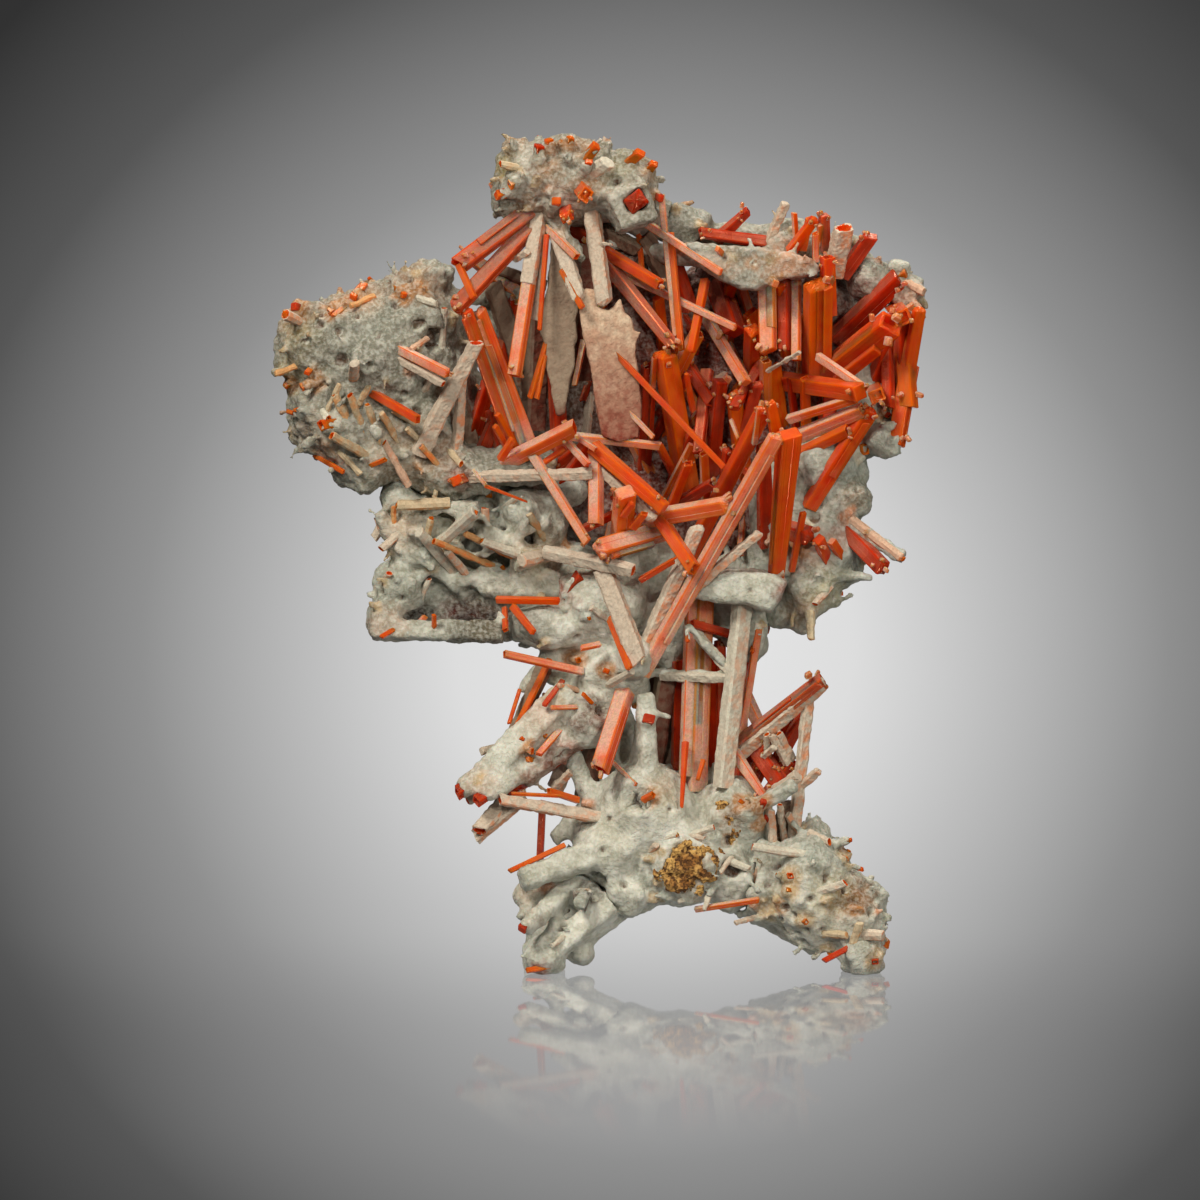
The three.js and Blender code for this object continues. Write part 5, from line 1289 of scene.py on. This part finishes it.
def broken_end():
    draw_out(TIP * 0.2)
    draw_out(TIP * 0.35, 0.82)
    draw_out(TIP * 0.25, 0.7)
    draw_out(TIP * 0.2, 0.5)
    bpy.ops.mesh.select_more()
    bpy.ops.mesh.select_more()
    bpy.ops.transform.vertex_random(offset=0.07, seed=7)


def mark_core(mesh):
    """Gives the faces inside a hollow end the second material."""
    points = points_of(mesh)
    off_axis = np.hypot(points[:, 0], points[:, 2])
    inner = (points[:, 1] > BODY - HOLLOW_DEPTH) & (off_axis < HOLLOW_RADIUS)
    for face in mesh.polygons:
        face.material_index = int(all(inner[corner] for corner in face.vertices))


def model_crystal(name, outline, slices, end):
    """A crystal along +Y, with sides about 1 wide, its root at the origin."""
    obj = outline_face(name, outline)
    edit(obj)
    for _ in range(slices):
        draw_out(BODY / slices)
    end()
    bpy.ops.mesh.select_all(action="SELECT")
    bpy.ops.mesh.normals_make_consistent(inside=False)
    leave_edit()
    if end is hollow_end:
        mark_core(obj.data)
    bpy.context.scene.collection.objects.unlink(obj)
    return obj.data


def make_models():
    ends = {"square": square_end, "hollow": hollow_end, "broken": broken_end}
    return {(kind, name): model_crystal(f"{kind}_{name}", square_outline(corner, steps), slices, end)
            for kind, (corner, steps, slices) in MODELS.items() for name, end in ends.items()}


# Crystals


def lie_along(points, start, end, roll):
    """Turns points built along +Y and centred on the origin to lie from start to end."""
    axis = (end - start).normalized()
    across = axis.cross(FRONT)
    if across.length < 0.3:
        across = Vector((1, 0, 0)) - axis * axis.x
    across.normalize()
    deep = across.cross(axis)
    x, z = turned(points, roll)
    return np.stack([x, points[:, 1], z], 1) @ np.array([across, axis, deep]) + np.array((start + end) / 2)


def dust_and_light_on(mesh, chance):
    """How much dust each face of a crystal holds, most on the faces turned up and to the left, towards the
    light, as partly painted light.
    """
    areas = np.empty(len(mesh.polygons))
    mesh.polygons.foreach_get("area", areas)
    normals = vectors_of(mesh.polygons, "normal")
    fall = normals @ np.array(DUST_AND_LIGHT_FALL.normalized())
    side = np.sin(normals @ np.array((9.1, 3.7, 5.3)) + chance * 40)
    broad = np.clip(areas / (0.25 * np.median(areas) + 1e-12), 0, 1)
    return np.clip((fall * 1.3 + 0.35 + 0.35 * side), 0, 1) * broad


def model_for(row, end, model):
    """Which model a row of the tables is a copy of, as far as the call leaves it open."""
    name, _, tip, _, finish, _ = row
    model = model or ("glass" if finish in GLASS_FINISHES else "coat")
    if model == "stub" and finish not in GLASS_FINISHES:
        model = "tube"
    return model, end or ENDS.get(name) or ("square", "hollow", "broken")[int(scatter(*tip, 5) * 2.6) % 3]


def put_crystal_attributes(mesh, model_points, tip, along, share, side, chance):
    """What the materials read: grain runs along the crystal, reach from root to tip, rim to its edges."""
    across, deep = np.abs(model_points[:, 0]), np.abs(model_points[:, 2])
    around = np.arctan2(model_points[:, 0], model_points[:, 2]) / math.tau * 4 * side / MM
    grain = np.stack([around, along / MM, np.full(len(along), chance * 50)], 1)
    rim = np.minimum(across, deep) / np.maximum(across, deep).clip(1e-6)
    put_attribute(mesh, "grain", "FLOAT_VECTOR", "POINT", grain)
    put_attribute(mesh, "dust", "FLOAT", "FACE", dust_and_light_on(mesh, chance))
    put_attribute(mesh, "tone", "FLOAT", "FACE", [scatter(*tip, 3)] * len(mesh.polygons))
    put_attribute(mesh, "reach", "FLOAT", "POINT", share)
    put_attribute(mesh, "rim", "FLOAT", "POINT", rim)


def grow(models, materials, row, end=None, model=None):
    """One crystal of the tables."""
    name, root, tip, width, finish, taper = row
    start, stop = place(root), place(tip)
    chance = scatter(len(name), width, tip[2], 1) - 0.5
    roll = math.radians(PRISM_ROLL + ROLL_SPREAD * chance)
    side = width * MM / (math.cos(roll) + math.sin(roll))
    length = (stop - start).length
    mesh = models[model_for(row, end, model)].copy()
    mesh.name = name
    points = points_of(mesh)
    body = length - TIP * side
    along = np.where(points[:, 1] <= BODY, points[:, 1] / BODY * body, body + (points[:, 1] - BODY) * side)
    share = along / length
    swell = side * (1 + (taper - 1) * share)
    x, z = turned(points, int(scatter(*tip, 9) * 4) * math.pi / 2)
    x, z = x * swell, z * swell * PRISM_DEPTH
    y = along - length / 2 + TIP_SLANT * 2 * chance * x * share
    set_points(mesh, lie_along(np.stack([x, y, z], 1), start, stop, roll))
    put_crystal_attributes(mesh, points, tip, along, share, side, chance)
    mesh.materials.append(materials[finish])
    mesh.materials.append(materials["deep" if finish == "deep" else "bare"])
    return link(mesh)


def slivers(row):
    """Thin crystals that lie along a thick one's sides, each a little shorter."""
    name, root, tip, width, finish, _ = row
    start, stop = Vector(root), Vector(tip)
    axis = (stop - start).normalized()
    across = axis.cross(FRONT).normalized()
    rows = []
    for number in range(1 if width < SLIVER_PAIR_WIDTH else 2):
        chance = [scatter(*tip, 20 + 5 * number + k) for k in range(4)]
        aside = across * width * (chance[0] - 0.5) * 0.9 - FRONT * width * (0.2 + 0.1 * chance[1])
        low, high = chance[2] * 0.35, 1 - chance[3] * 0.4
        ends = [tuple(start.lerp(stop, share) + aside) for share in (low, high)]
        rows.append((f"{name}_sliver_{number}", *ends, width * (0.34 + 0.2 * chance[1]), finish, 1))
    return rows


def shards(row):
    """Splinters of glass round a crystal's broken tip."""
    name, root, tip, width, _, _ = row
    start, stop = Vector(root), Vector(tip)
    axis = (stop - start).normalized()
    rows = []
    for number in range(4):
        way = Vector([scatter(*tip, 50 + 7 * number + k) - 0.5 for k in range(3)])
        out = (axis + way * 1.8).normalized()
        foot = stop - axis * width * 0.35 + way * width * 0.8
        length = width * (0.16 + 0.26 * scatter(*tip, 90 + number))
        side = width * (0.2 + 0.18 * scatter(*tip, 70 + number))
        rows.append((f"{name}_shard_{number}", tuple(foot), tuple(foot + out * length), side, "tip", 0.8))
    return rows


def has_shards(row):
    return row[4] in GLASS_FINISHES and row[3] >= SHARD_WIDTH and not row[0].startswith(CLEAN_TIPS)


def grown_crystals(models, materials, rows, **options):
    """All crystals of some rows as one object, the coated ones with a lumpy coat."""
    glassy = [grow(models, materials, row, **options) for row in rows if row[4] in GLASS_FINISHES]
    for row in rows:
        if row[0] in SLIVERED:
            glassy += [grow(models, materials, sliver, end="square") for sliver in slivers(row)]
        if has_shards(row):
            glassy += [grow(models, materials, shard, end="broken", model="stub") for shard in shards(row)]
    coated = [grow(models, materials, row, **options) for row in rows if row[4] in COAT_FINISHES]
    parts = []
    if coated:
        lumpy = join(coated)
        roughen(lumpy, 2.2, 0.55, "coat_lumps")
        roughen(lumpy, 0.7, 0.3, "coat_grain")
        parts.append(lumpy)
    if glassy:
        parts.append(join(glassy))
    return join(parts)


def blade(name, outline, top_depth, foot_depth, thickness, thin, finish, materials):
    """A flat coated blade with a ragged outline, that leans and whose coat gets thin towards its foot."""
    heights = [z for _, z in outline]
    top, foot = max(heights), min(heights)

    def corner(x, z):
        share = (top - z) / (top - foot)
        depth = top_depth + (foot_depth - top_depth) * share
        return place((x, depth - thickness / 2, z))

    obj = outline_face(name, [corner(x, z) for x, z in outline])
    edit(obj)
    bpy.ops.mesh.extrude_region_move(TRANSFORM_OT_translate={"value": (0, thickness * MM, 0)})
    bpy.ops.mesh.select_all(action="SELECT")
    bpy.ops.mesh.normals_make_consistent(inside=False)
    leave_edit()
    melt(obj, FINE_VOXEL, 3)
    roughen(obj, 3, 0.7, "blade_swell")
    roughen(obj, 0.9, 0.3, "blade_grain")
    face_heights = vectors_of(obj.data.polygons, "center")[:, 2] / MM
    cover = np.clip((face_heights - foot) / (top - foot) / thin, 0, 1)
    put_attribute(obj.data, "dust", "FLOAT", "FACE", cover)
    put_attribute(obj.data, "tone", "FLOAT", "FACE", (1 - cover) * 0.9)
    obj.data.materials.append(materials[finish])
    return obj


# The crust


def copy_of_node(node):
    mesh = frame["nodes"][node].data.copy()
    mesh.materials.clear()
    obj = link(mesh)
    edit(obj)
    bpy.ops.mesh.remove_doubles(threshold=1e-6)
    leave_edit()
    return obj


def neighbour_mean(values, edges, counts):
    total = np.zeros_like(values)
    np.add.at(total, edges[:, 0], values[edges[:, 1]])
    np.add.at(total, edges[:, 1], values[edges[:, 0]])
    return total / counts[:, None]


def hollowness(mesh, rounds=14):
    """How far each point lies below a smoothed surface, in mm, or above it if negative."""
    points = points_of(mesh)
    edges = np.empty(len(mesh.edges) * 2, dtype=np.int32)
    mesh.edges.foreach_get("vertices", edges)
    edges = edges.reshape(-1, 2)
    counts = np.bincount(edges.ravel(), minlength=len(points)).clip(1).astype(float)
    smooth = points.copy()
    for _ in range(rounds):
        smooth = neighbour_mean(smooth, edges, counts)
    return ((smooth - points) * normals_of(mesh)).sum(1) / MM


def front_hit(objects, x, z):
    """Where a line of sight from the front first meets one of the objects, or None."""
    origin = Vector((x * MM, SIGHT_START, z * MM))
    hits = [obj.ray_cast(origin, FRONT) for obj in objects]
    return min((hit[1] for hit in hits if hit[0]), key=lambda seat: seat.y, default=None)


def sink_pores(obj, pores):
    """Presses pits into the crust, and says how deep in one each point lies, from 0 to 1."""
    places = [(front_hit([obj], x, z), radius, depth) for x, z, radius, depth in pores]
    points, normals = points_of(obj.data), normals_of(obj.data)
    pit_depth = np.zeros(len(points))
    for centre, radius, depth in places:
        if centre is None:
            continue
        share = np.linalg.norm(points - np.array(centre), axis=1) / (radius * MM)
        sunk = np.clip(1.35 - share, 0, 1) ** 0.7
        points -= normals * (sunk * depth * MM)[:, None]
        pit_depth = np.maximum(pit_depth, sunk)
    set_points(obj.data, points)
    return pit_depth


def stub_share(points, row):
    """How far each point lies within a stub, from 0 at its skin to 1, past the stub's root."""
    _, root, tip, width = row[:4]
    axis = np.array(tip) - np.array(root)
    along = ((points - np.array(root)) @ axis) / (axis @ axis)
    nearest = np.array(root) + np.clip(along, 0, 1)[:, None] * axis
    distance = np.linalg.norm(points - nearest, axis=1)
    return np.clip(2.6 - distance / (0.36 * width), 0, 1) * np.clip(along * 4 - 0.8, 0, 1)


def stain_and_shade_share(points, facing, x, z, reach):
    """How strongly a stain or a patch of painted shade, with a ragged edge, covers each point that faces the
    front.
    """
    distance = np.hypot(points[:, 0] - x, points[:, 2] - z)
    distance += reach * 0.3 * np.sin(points[:, 0] * 1.9 + x) * np.sin(points[:, 2] * 2.3 + z)
    return np.clip(1.25 - distance / reach, 0, 1) ** 0.8 * facing


def tint_crust(obj, area, pit_depth, stubs):
    """Colours each point of the crust: by its hollows and bumps, as painted shade and light; by its stubs; by
    the stains and the painted shade near it; by how deep in a pit it lies; and with painted shade over some
    whole pieces.
    """
    mesh = obj.data
    points = points_of(mesh) / MM + np.array((0, MIDDLE_DEPTH, 0))
    hollow = hollowness(mesh)
    behind = np.clip((points[:, 1] - 3) / 3, 0, 1)
    before = np.clip((16 - points[:, 1]) / 8, 0, 1)
    if area == "back_wall":
        behind = before = np.clip(0.5 - normals_of(mesh)[:, 1] * 2, 0, 1)
    colours = {name: np.array(linear(screen)) for name, screen in TINTS.items()}
    tint = np.tile(colours["gibbsite"], (len(points), 1))

    def wash(weight, name):
        nonlocal tint
        weight = np.clip(weight, 0, 1)[:, None]
        tint = tint * (1 - weight) + colours[name] * weight

    # painted light: the crust's bumps take the paler crest colour
    wash(-hollow * 0.9, "crest")
    for x, z, reach, name, strength in STAINS_AND_SHADES[area]:
        facing = behind if name in DEEP_SHADES else before
        wash(strength * stain_and_shade_share(points, facing, x, z, reach), name)
    for row in stubs:
        wash(stub_share(points, row) * 0.85, STUB_TINT[row[4]])
    # painted shade: some whole pieces are darkened with the clay colour
    wash(np.full(len(points), PAINTED_SHADE_WASH.get(area, 0)), "clay_shade")
    # painted shade: the crust's hollows take the darker crevice colour
    wash(hollow * 0.9 - 0.12, "crevice_shade")
    # a pale ring round each pit, and painted shade in its bottom
    wash(pit_depth * 2.2 * (pit_depth < 0.5), "ivory")
    wash(pit_depth * 1.6 - 0.75, "umber_shade")
    put_attribute(mesh, "tint", "FLOAT_COLOR", "POINT", np.c_[tint, np.ones(len(tint))])


def keep_above_floor(obj):
    points = points_of(obj.data)
    points[:, 2] = points[:, 2].clip(0)
    set_points(obj.data, points)


def lump(x, y, z, radius_x, radius_y, radius_z):
    """A swelling of the crust, before it is melted into it."""
    bpy.ops.mesh.primitive_uv_sphere_add(segments=16, ring_count=10, radius=1)
    obj = bpy.context.object
    edit(obj)
    bpy.ops.transform.resize(value=(radius_x * MM, radius_y * MM, radius_z * MM))
    bpy.ops.transform.translate(value=place((x, y, z)))
    leave_edit()
    return obj


def melted_crust(area, models, materials, stubs, rounding):
    """The node of a piece of crust, melted into one with its swellings, its rods and its coated stubs."""
    coats = dict.fromkeys([*STUB_TINT, "bare"], materials["crust"])

    def coated_rods(rows):
        return [grow(models, coats, row, end="square", model="stub") for row in rows]

    node = copy_of_node(f"crust_{area}")
    lumps = [lump(*row) for row in LUMPS.get(area, [])]
    rods = [(f"rod_{index}", *rod, "coated", 0.9) for index, rod in enumerate(RODS.get(area, []))]
    obj = join([node] + lumps + coated_rods(rods))
    melt(obj, MELT_VOXEL, rounding)
    obj = join([obj] + coated_rods(stubs))
    obj.data.materials.clear()
    melt(obj, WALL_VOXEL if area == "back_wall" else CRUST_VOXEL, 2)
    return obj


def crust_body(area, models, materials, stubs):
    """A piece of the crust with its relief, its pits and its colours."""
    lumps, knobs, _, _, rounding = CRUST_GROWTH[area]
    obj = melted_crust(area, models, materials, stubs, rounding)
    roughen(obj, 6, lumps * 1.6, "crust_lumps")
    displace(obj, relief("crust_knobs", "VORONOI", 2.6, distance_metric="DISTANCE"), -knobs, 0.4)
    roughen(obj, 1.1, 0.45, "crust_grain")
    keep_above_floor(obj)
    pit_depth = sink_pores(obj, PORES.get(area, []))
    tint_crust(obj, area, pit_depth, stubs)
    shade_smooth(obj)
    obj.data.materials.append(materials["crust"])
    return obj


def way_out(row):
    return (Vector(row[2]) - Vector(row[1])).normalized()


def core_of(row):
    """The glassy core that shows in the end of a coated stub."""
    name, _, tip, width, _, _ = row
    out = way_out(row)
    inside, outside = Vector(tip) - out * 1.2, Vector(tip) + out * 0.3
    return (name, tuple(inside), tuple(outside), width * 0.55, "bare", 0.9)


def rim_of(row, area):
    """The coated rim that a glassy stub stands in."""
    name, root, tip, width, _, _ = row
    finish = "pale" if width >= PALE_RIM_WIDTH else "tan" if area == "right_foot" else "amber"
    return (f"{name}_rim", root, tuple(Vector(tip) - way_out(row) * 0.6), width + 1.3, finish, 0.8)


def front_stub(objects, row, index):
    """A table row for grow(), seated on the crust where the stub's root meets it."""
    x, z, tip_x, tip_z, width, lift, finish = row
    seat = front_hit(objects, x, z)
    if seat is None:
        return None
    over = front_hit(objects, tip_x, tip_z)
    depth = table_depth(seat)
    tip_depth = depth if over is None else min(depth, table_depth(over))
    return (f"stub_{index}", (x, depth + 1, z), (tip_x, tip_depth - lift, tip_z), width, finish, 0.95)


def outside_cad(point):
    return any(point[k] < cad_box[0][k] or point[k] > cad_box[1][k] for k in range(3))


def loose_stub(obj, low, high, sign, index, draw):
    """A small stub at a chance place on the front or back of the crust, or None where it has no room."""
    aim = Vector([draw.uniform(a, b) for a, b in zip(low, high)])
    way = Vector((draw.gauss(0, 0.8), sign * draw.uniform(0.15, 1), draw.gauss(0, 0.7))).normalized()
    found, seat, normal, _ = obj.ray_cast(aim + way * 0.2, -way)
    if not found or normal.z < -0.8 or seat.z < FLOOR_GAP:
        return None
    lean = Vector((draw.gauss(0, 1), draw.gauss(0, 1), draw.gauss(0, 1))).normalized()
    out = (normal + lean * 0.75).normalized()
    reach = draw.uniform(1, 3.4) * (1 if sign > 0 else 0.7)
    finish = draw.choice(LOOSE_FINISHES)
    tip = seat + out * reach * MM
    if outside_cad(tip):
        return None
    root = seat - out * STUB_SINK * MM
    return (f"loose_{index}", table_point(root), table_point(tip), draw.uniform(1.1, 2.3), finish, 0.9)


def loose_stubs(obj, area, draw):
    """Small stubs at chance places, first on the front of a piece of crust and then on its back."""
    _, _, front_count, back_count, _ = CRUST_GROWTH[area]
    low, high = (np.array(corner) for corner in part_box(f"crust_{area}"))
    rows = []
    for _ in range(MOST_TRIES):
        if len(rows) == front_count + back_count:
            break
        sign = -1 if len(rows) < front_count else 1
        row = loose_stub(obj, low, high, sign, len(rows), draw)
        if row:
            rows.append(row)
    return rows


def is_coated(row):
    return row[4] in STUB_TINT


def grow_crust(area, models, materials, draw):
    """One piece of the crust, with the stubs that grow on it."""
    node = frame["nodes"][f"crust_{area}"]
    rows = [front_stub([node], row, index) for index, row in enumerate(STUBS[area])]
    rows = [row for row in rows if row] + loose_stubs(node, area, draw)
    melted = [row for row in rows if is_coated(row) and math.dist(row[1], row[2]) < LONG_STUB]
    apart = [row for row in rows if row not in melted]
    cores = [core_of(row) for row in rows
             if is_coated(row) and row[3] > CORE_WIDTH and draw.random() < CORE_CHANCE]
    rims = [rim_of(row, area) for row in apart if not is_coated(row) and row[3] >= RIM_WIDTH]
    obj = crust_body(area, models, materials, melted + rims)
    piece = join([obj, grown_crystals(models, materials, apart + cores, model="stub")])
    finish_piece(piece, f"gibbsite_{area}", "gibbsite_crust", f"crust_{area}")
    return piece


def grow_pocket(base, materials):
    """The limonite that fills the pocket and spills over its edge."""
    crumbs = []
    for x, z, radius in CRUMBS:
        depth = table_depth(front_hit([base, frame["nodes"]["pocket_filling"]], x, z))
        crumbs.append(lump(x, depth + radius * 0.5, z, radius, radius * 0.7, radius))
    obj = join([copy_of_node("pocket_filling")] + crumbs)
    melt(obj, FINE_VOXEL, 2)
    roughen(obj, 2.2, 2.2, "pocket_crumbs")
    roughen(obj, 0.9, 1.4, "pocket_grain")
    obj.data.materials.append(materials["limonite"])
    finish_piece(obj, "limonite_pocket", "limonite", "pocket_filling")


def grow_clusters(models, materials):
    """The crystals of each node of the frame, in its place."""
    for node, rows in CRYSTALS.items():
        grown = [row for row in rows if row[0] not in FLAT_CRYSTALS]
        pieces = [grown_crystals(models, materials, grown)] if grown else []
        if node in BLADES:
            pieces.append(blade(f"{node}_blade", *BLADES[node], materials))
        piece = join(pieces)
        biggest = max(rows, key=lambda row: row[3] * (place(row[1]) - place(row[2])).length)
        name = node.replace("cluster_", "crocoite_").replace("crystal_", "crocoite_")
        finish_piece(piece, name, SLOTS[biggest[4]], node)


def inner_crystals(wall, draw):
    """Rows of crystals that fill the hollow between the back wall and the front ones."""
    rows = []
    for left, right, low, high, count, finishes in INNER:
        for _ in range(count):
            x, z = draw.uniform(left, right), draw.uniform(low, high)
            seat = front_hit([wall], x, z)
            lean = draw.gauss(0, 0.4)
            way = Vector((lean, -draw.uniform(0.25, 0.9), draw.choice((1, 1, -1)))).normalized()
            length, width = draw.uniform(9, 22), draw.uniform(1.6, 4)
            finish = draw.choice(finishes)
            if seat is None:
                continue
            root = Vector((x, table_depth(seat) + 2, z))
            tip = root + way * length
            if left - 2 < tip.x < right + 2 and low - 4 < tip.z < high + 6:
                rows.append((f"inner_{len(rows)}", tuple(root), tuple(tip), width, finish, 0.9))
    return rows


def grow_fine_crystals(models, materials):
    for area, rows in (FINE_CRYSTALS | HIDDEN_CRYSTALS).items():
        piece = grown_crystals(models, materials, rows)
        finish_piece(piece, f"crocoite_fine_{area}", "bare_crocoite")


# The stage


def make_camera():
    data = bpy.data.cameras.new("camera")
    data.lens = 300
    data.sensor_width = 36
    data.clip_end = 20
    camera = bpy.data.objects.new("camera", data)
    bpy.context.scene.collection.objects.link(camera)
    camera.location = VIEWER
    camera.rotation_euler = (math.pi / 2 - CAMERA_TILT, 0, 0)
    bpy.context.scene.camera = camera


def combine(tree, x, y, z):
    return add_node(tree, "ShaderNodeCombineXYZ", i0=x, i1=y, i2=z).outputs[0]


def separate(tree, vector):
    return add_node(tree, "ShaderNodeSeparateXYZ", i0=vector).outputs


def glow_share(tree, spot):
    """How far a spot of the stage lies from the middle of the glow, as the camera sees it, from 0 to 1."""
    sight = vector_node(tree, "SUBTRACT", spot, VIEWER).outputs[0]
    away = separate(tree, sight)[1]
    slope = vector_node(tree, "DIVIDE", sight, combine(tree, away, away, away)).outputs[0]
    height = separate(tree, spot)[2]
    lift = times(tree, ramp(tree, height, MIRRORED_ABOVE, MIRRORED_TOP, *MIRRORED_LIFT),
                 math_node(tree, "GREATER_THAN", height, MIRRORED_ABOVE))
    middle = vector_node(tree, "ADD", combine(tree, 0, 0, lift), GLOW_SLOPE).outputs[0]
    reach = vector_node(tree, "DISTANCE", slope, middle).outputs["Value"]
    return add_node(tree, "ShaderNodeMapRange", i0=reach, i1=0, i2=GLOW_REACH).outputs[0]


def glow_colour(tree, share):
    greys = add_node(tree, "ShaderNodeValToRGB", i0=share)
    stops = greys.color_ramp.elements
    stops[0].position, stops[0].color = 0, grey(GLOW_MIDDLE)
    stops[1].position, stops[1].color = 1, grey(GLOW_EDGE)
    for position, level in GLOW_STOPS:
        stops.new(position).color = grey(level)
    return greys.outputs[0]


def backdrop_material():
    """A grey glow round a bright middle, as seen from the camera, with a faint gloss near the feet."""
    material, tree, main = shader("grey_backdrop")
    tree.nodes.remove(main)
    spot = object_place(tree)
    glow = add_node(tree, "ShaderNodeEmission", Color=glow_colour(tree, glow_share(tree, spot)))
    tilted = combine(tree, 0, GLOSS_TILT, 1)
    gloss = add_node(tree, "ShaderNodeBsdfGlossy", Color=(1, 1, 1, 1), Roughness=0.04, Normal=tilted)
    depth = separate(tree, spot)[1]
    share = times(tree, ramp(tree, depth, -GLOSS_REACH, -GLOSS_FOOT, 0, GLOSS),
                  ramp(tree, depth, GLOSS_FOOT, GLOSS_BACK, 1, 0))
    mixed = add_node(tree, "ShaderNodeMixShader", i0=share, i1=glow.outputs[0], i2=gloss.outputs[0])
    tree.links.new(mixed.outputs[0], tree.nodes["Material Output"].inputs["Surface"])
    material.cycles.emission_sampling = "NONE"
    return material


def make_stage():
    """A pale floor that sweeps up into the backdrop."""
    bpy.ops.mesh.primitive_plane_add(size=1, location=(0, 0, 0))
    floor = bpy.context.object
    floor.name = "floor_sweep"
    corners = [(x, y) for y in (-FLOOR_SIDE, FLOOR_BACK) for x in (-FLOOR_SIDE, FLOOR_SIDE)]
    for vertex, (x, y) in zip(floor.data.vertices, corners):
        vertex.co = (x, y, -FLOOR_DROP)
    edit(floor)
    bpy.ops.mesh.select_all(action="DESELECT")
    mesh = bmesh.from_edit_mesh(floor.data)
    for edge in mesh.edges:
        edge.select_set(all(corner.co.y > 0 for corner in edge.verts))
    bmesh.update_edit_mesh(floor.data)
    bpy.ops.mesh.spin(steps=24, angle=-math.pi / 2, center=(0, FLOOR_BACK, SWEEP_RADIUS), axis=(1, 0, 0))
    draw_up = {"value": (0, 0, WALL_HEIGHT)}
    bpy.ops.mesh.extrude_region_move(TRANSFORM_OT_translate=draw_up)
    leave_edit()
    shade_smooth(floor)
    floor.data.materials.append(backdrop_material())


def area_light(name, spot, size, power):
    data = bpy.data.lights.new(name, "AREA")
    data.shape = "DISK"
    data.size = size
    data.energy = power
    data.color = LIGHT_COLOUR
    light = bpy.data.objects.new(name, data)
    light.visible_camera = False
    light.location = spot
    light.rotation_euler = (Vector(LIGHTS_AIM) - Vector(spot)).to_track_quat("-Z", "Y").to_euler()
    bpy.context.scene.collection.objects.link(light)


def make_lights():
    for row in LIGHTS:
        area_light(*row)
    world = bpy.data.worlds.new("studio")
    world.use_nodes = True
    background = world.node_tree.nodes["Background"]
    background.inputs["Color"].default_value = WORLD_COLOUR
    background.inputs["Strength"].default_value = WORLD_STRENGTH
    bpy.context.scene.world = world


def limit_light_paths():
    scene = bpy.context.scene
    scene.view_settings.view_transform = "Standard"
    scene.cycles.max_bounces = 5
    scene.cycles.diffuse_bounces = 2
    scene.cycles.glossy_bounces = 2
    scene.cycles.transmission_bounces = 4
    scene.cycles.caustics_reflective = False
    scene.cycles.caustics_refractive = False


def main():
    make_camera()
    make_stage()
    make_lights()
    limit_light_paths()
    materials = make_materials()
    models = make_models()
    draw = random.Random(31)
    crust = {area: grow_crust(area, models, materials, draw) for area in CRUST_GROWTH}
    inner = grown_crystals(models, materials, inner_crystals(crust["back_wall"], draw))
    finish_piece(inner, "crocoite_inner", "deep_crocoite")
    grow_pocket(crust["base"], materials)
    grow_clusters(models, materials)
    grow_fine_crystals(models, materials)


main()
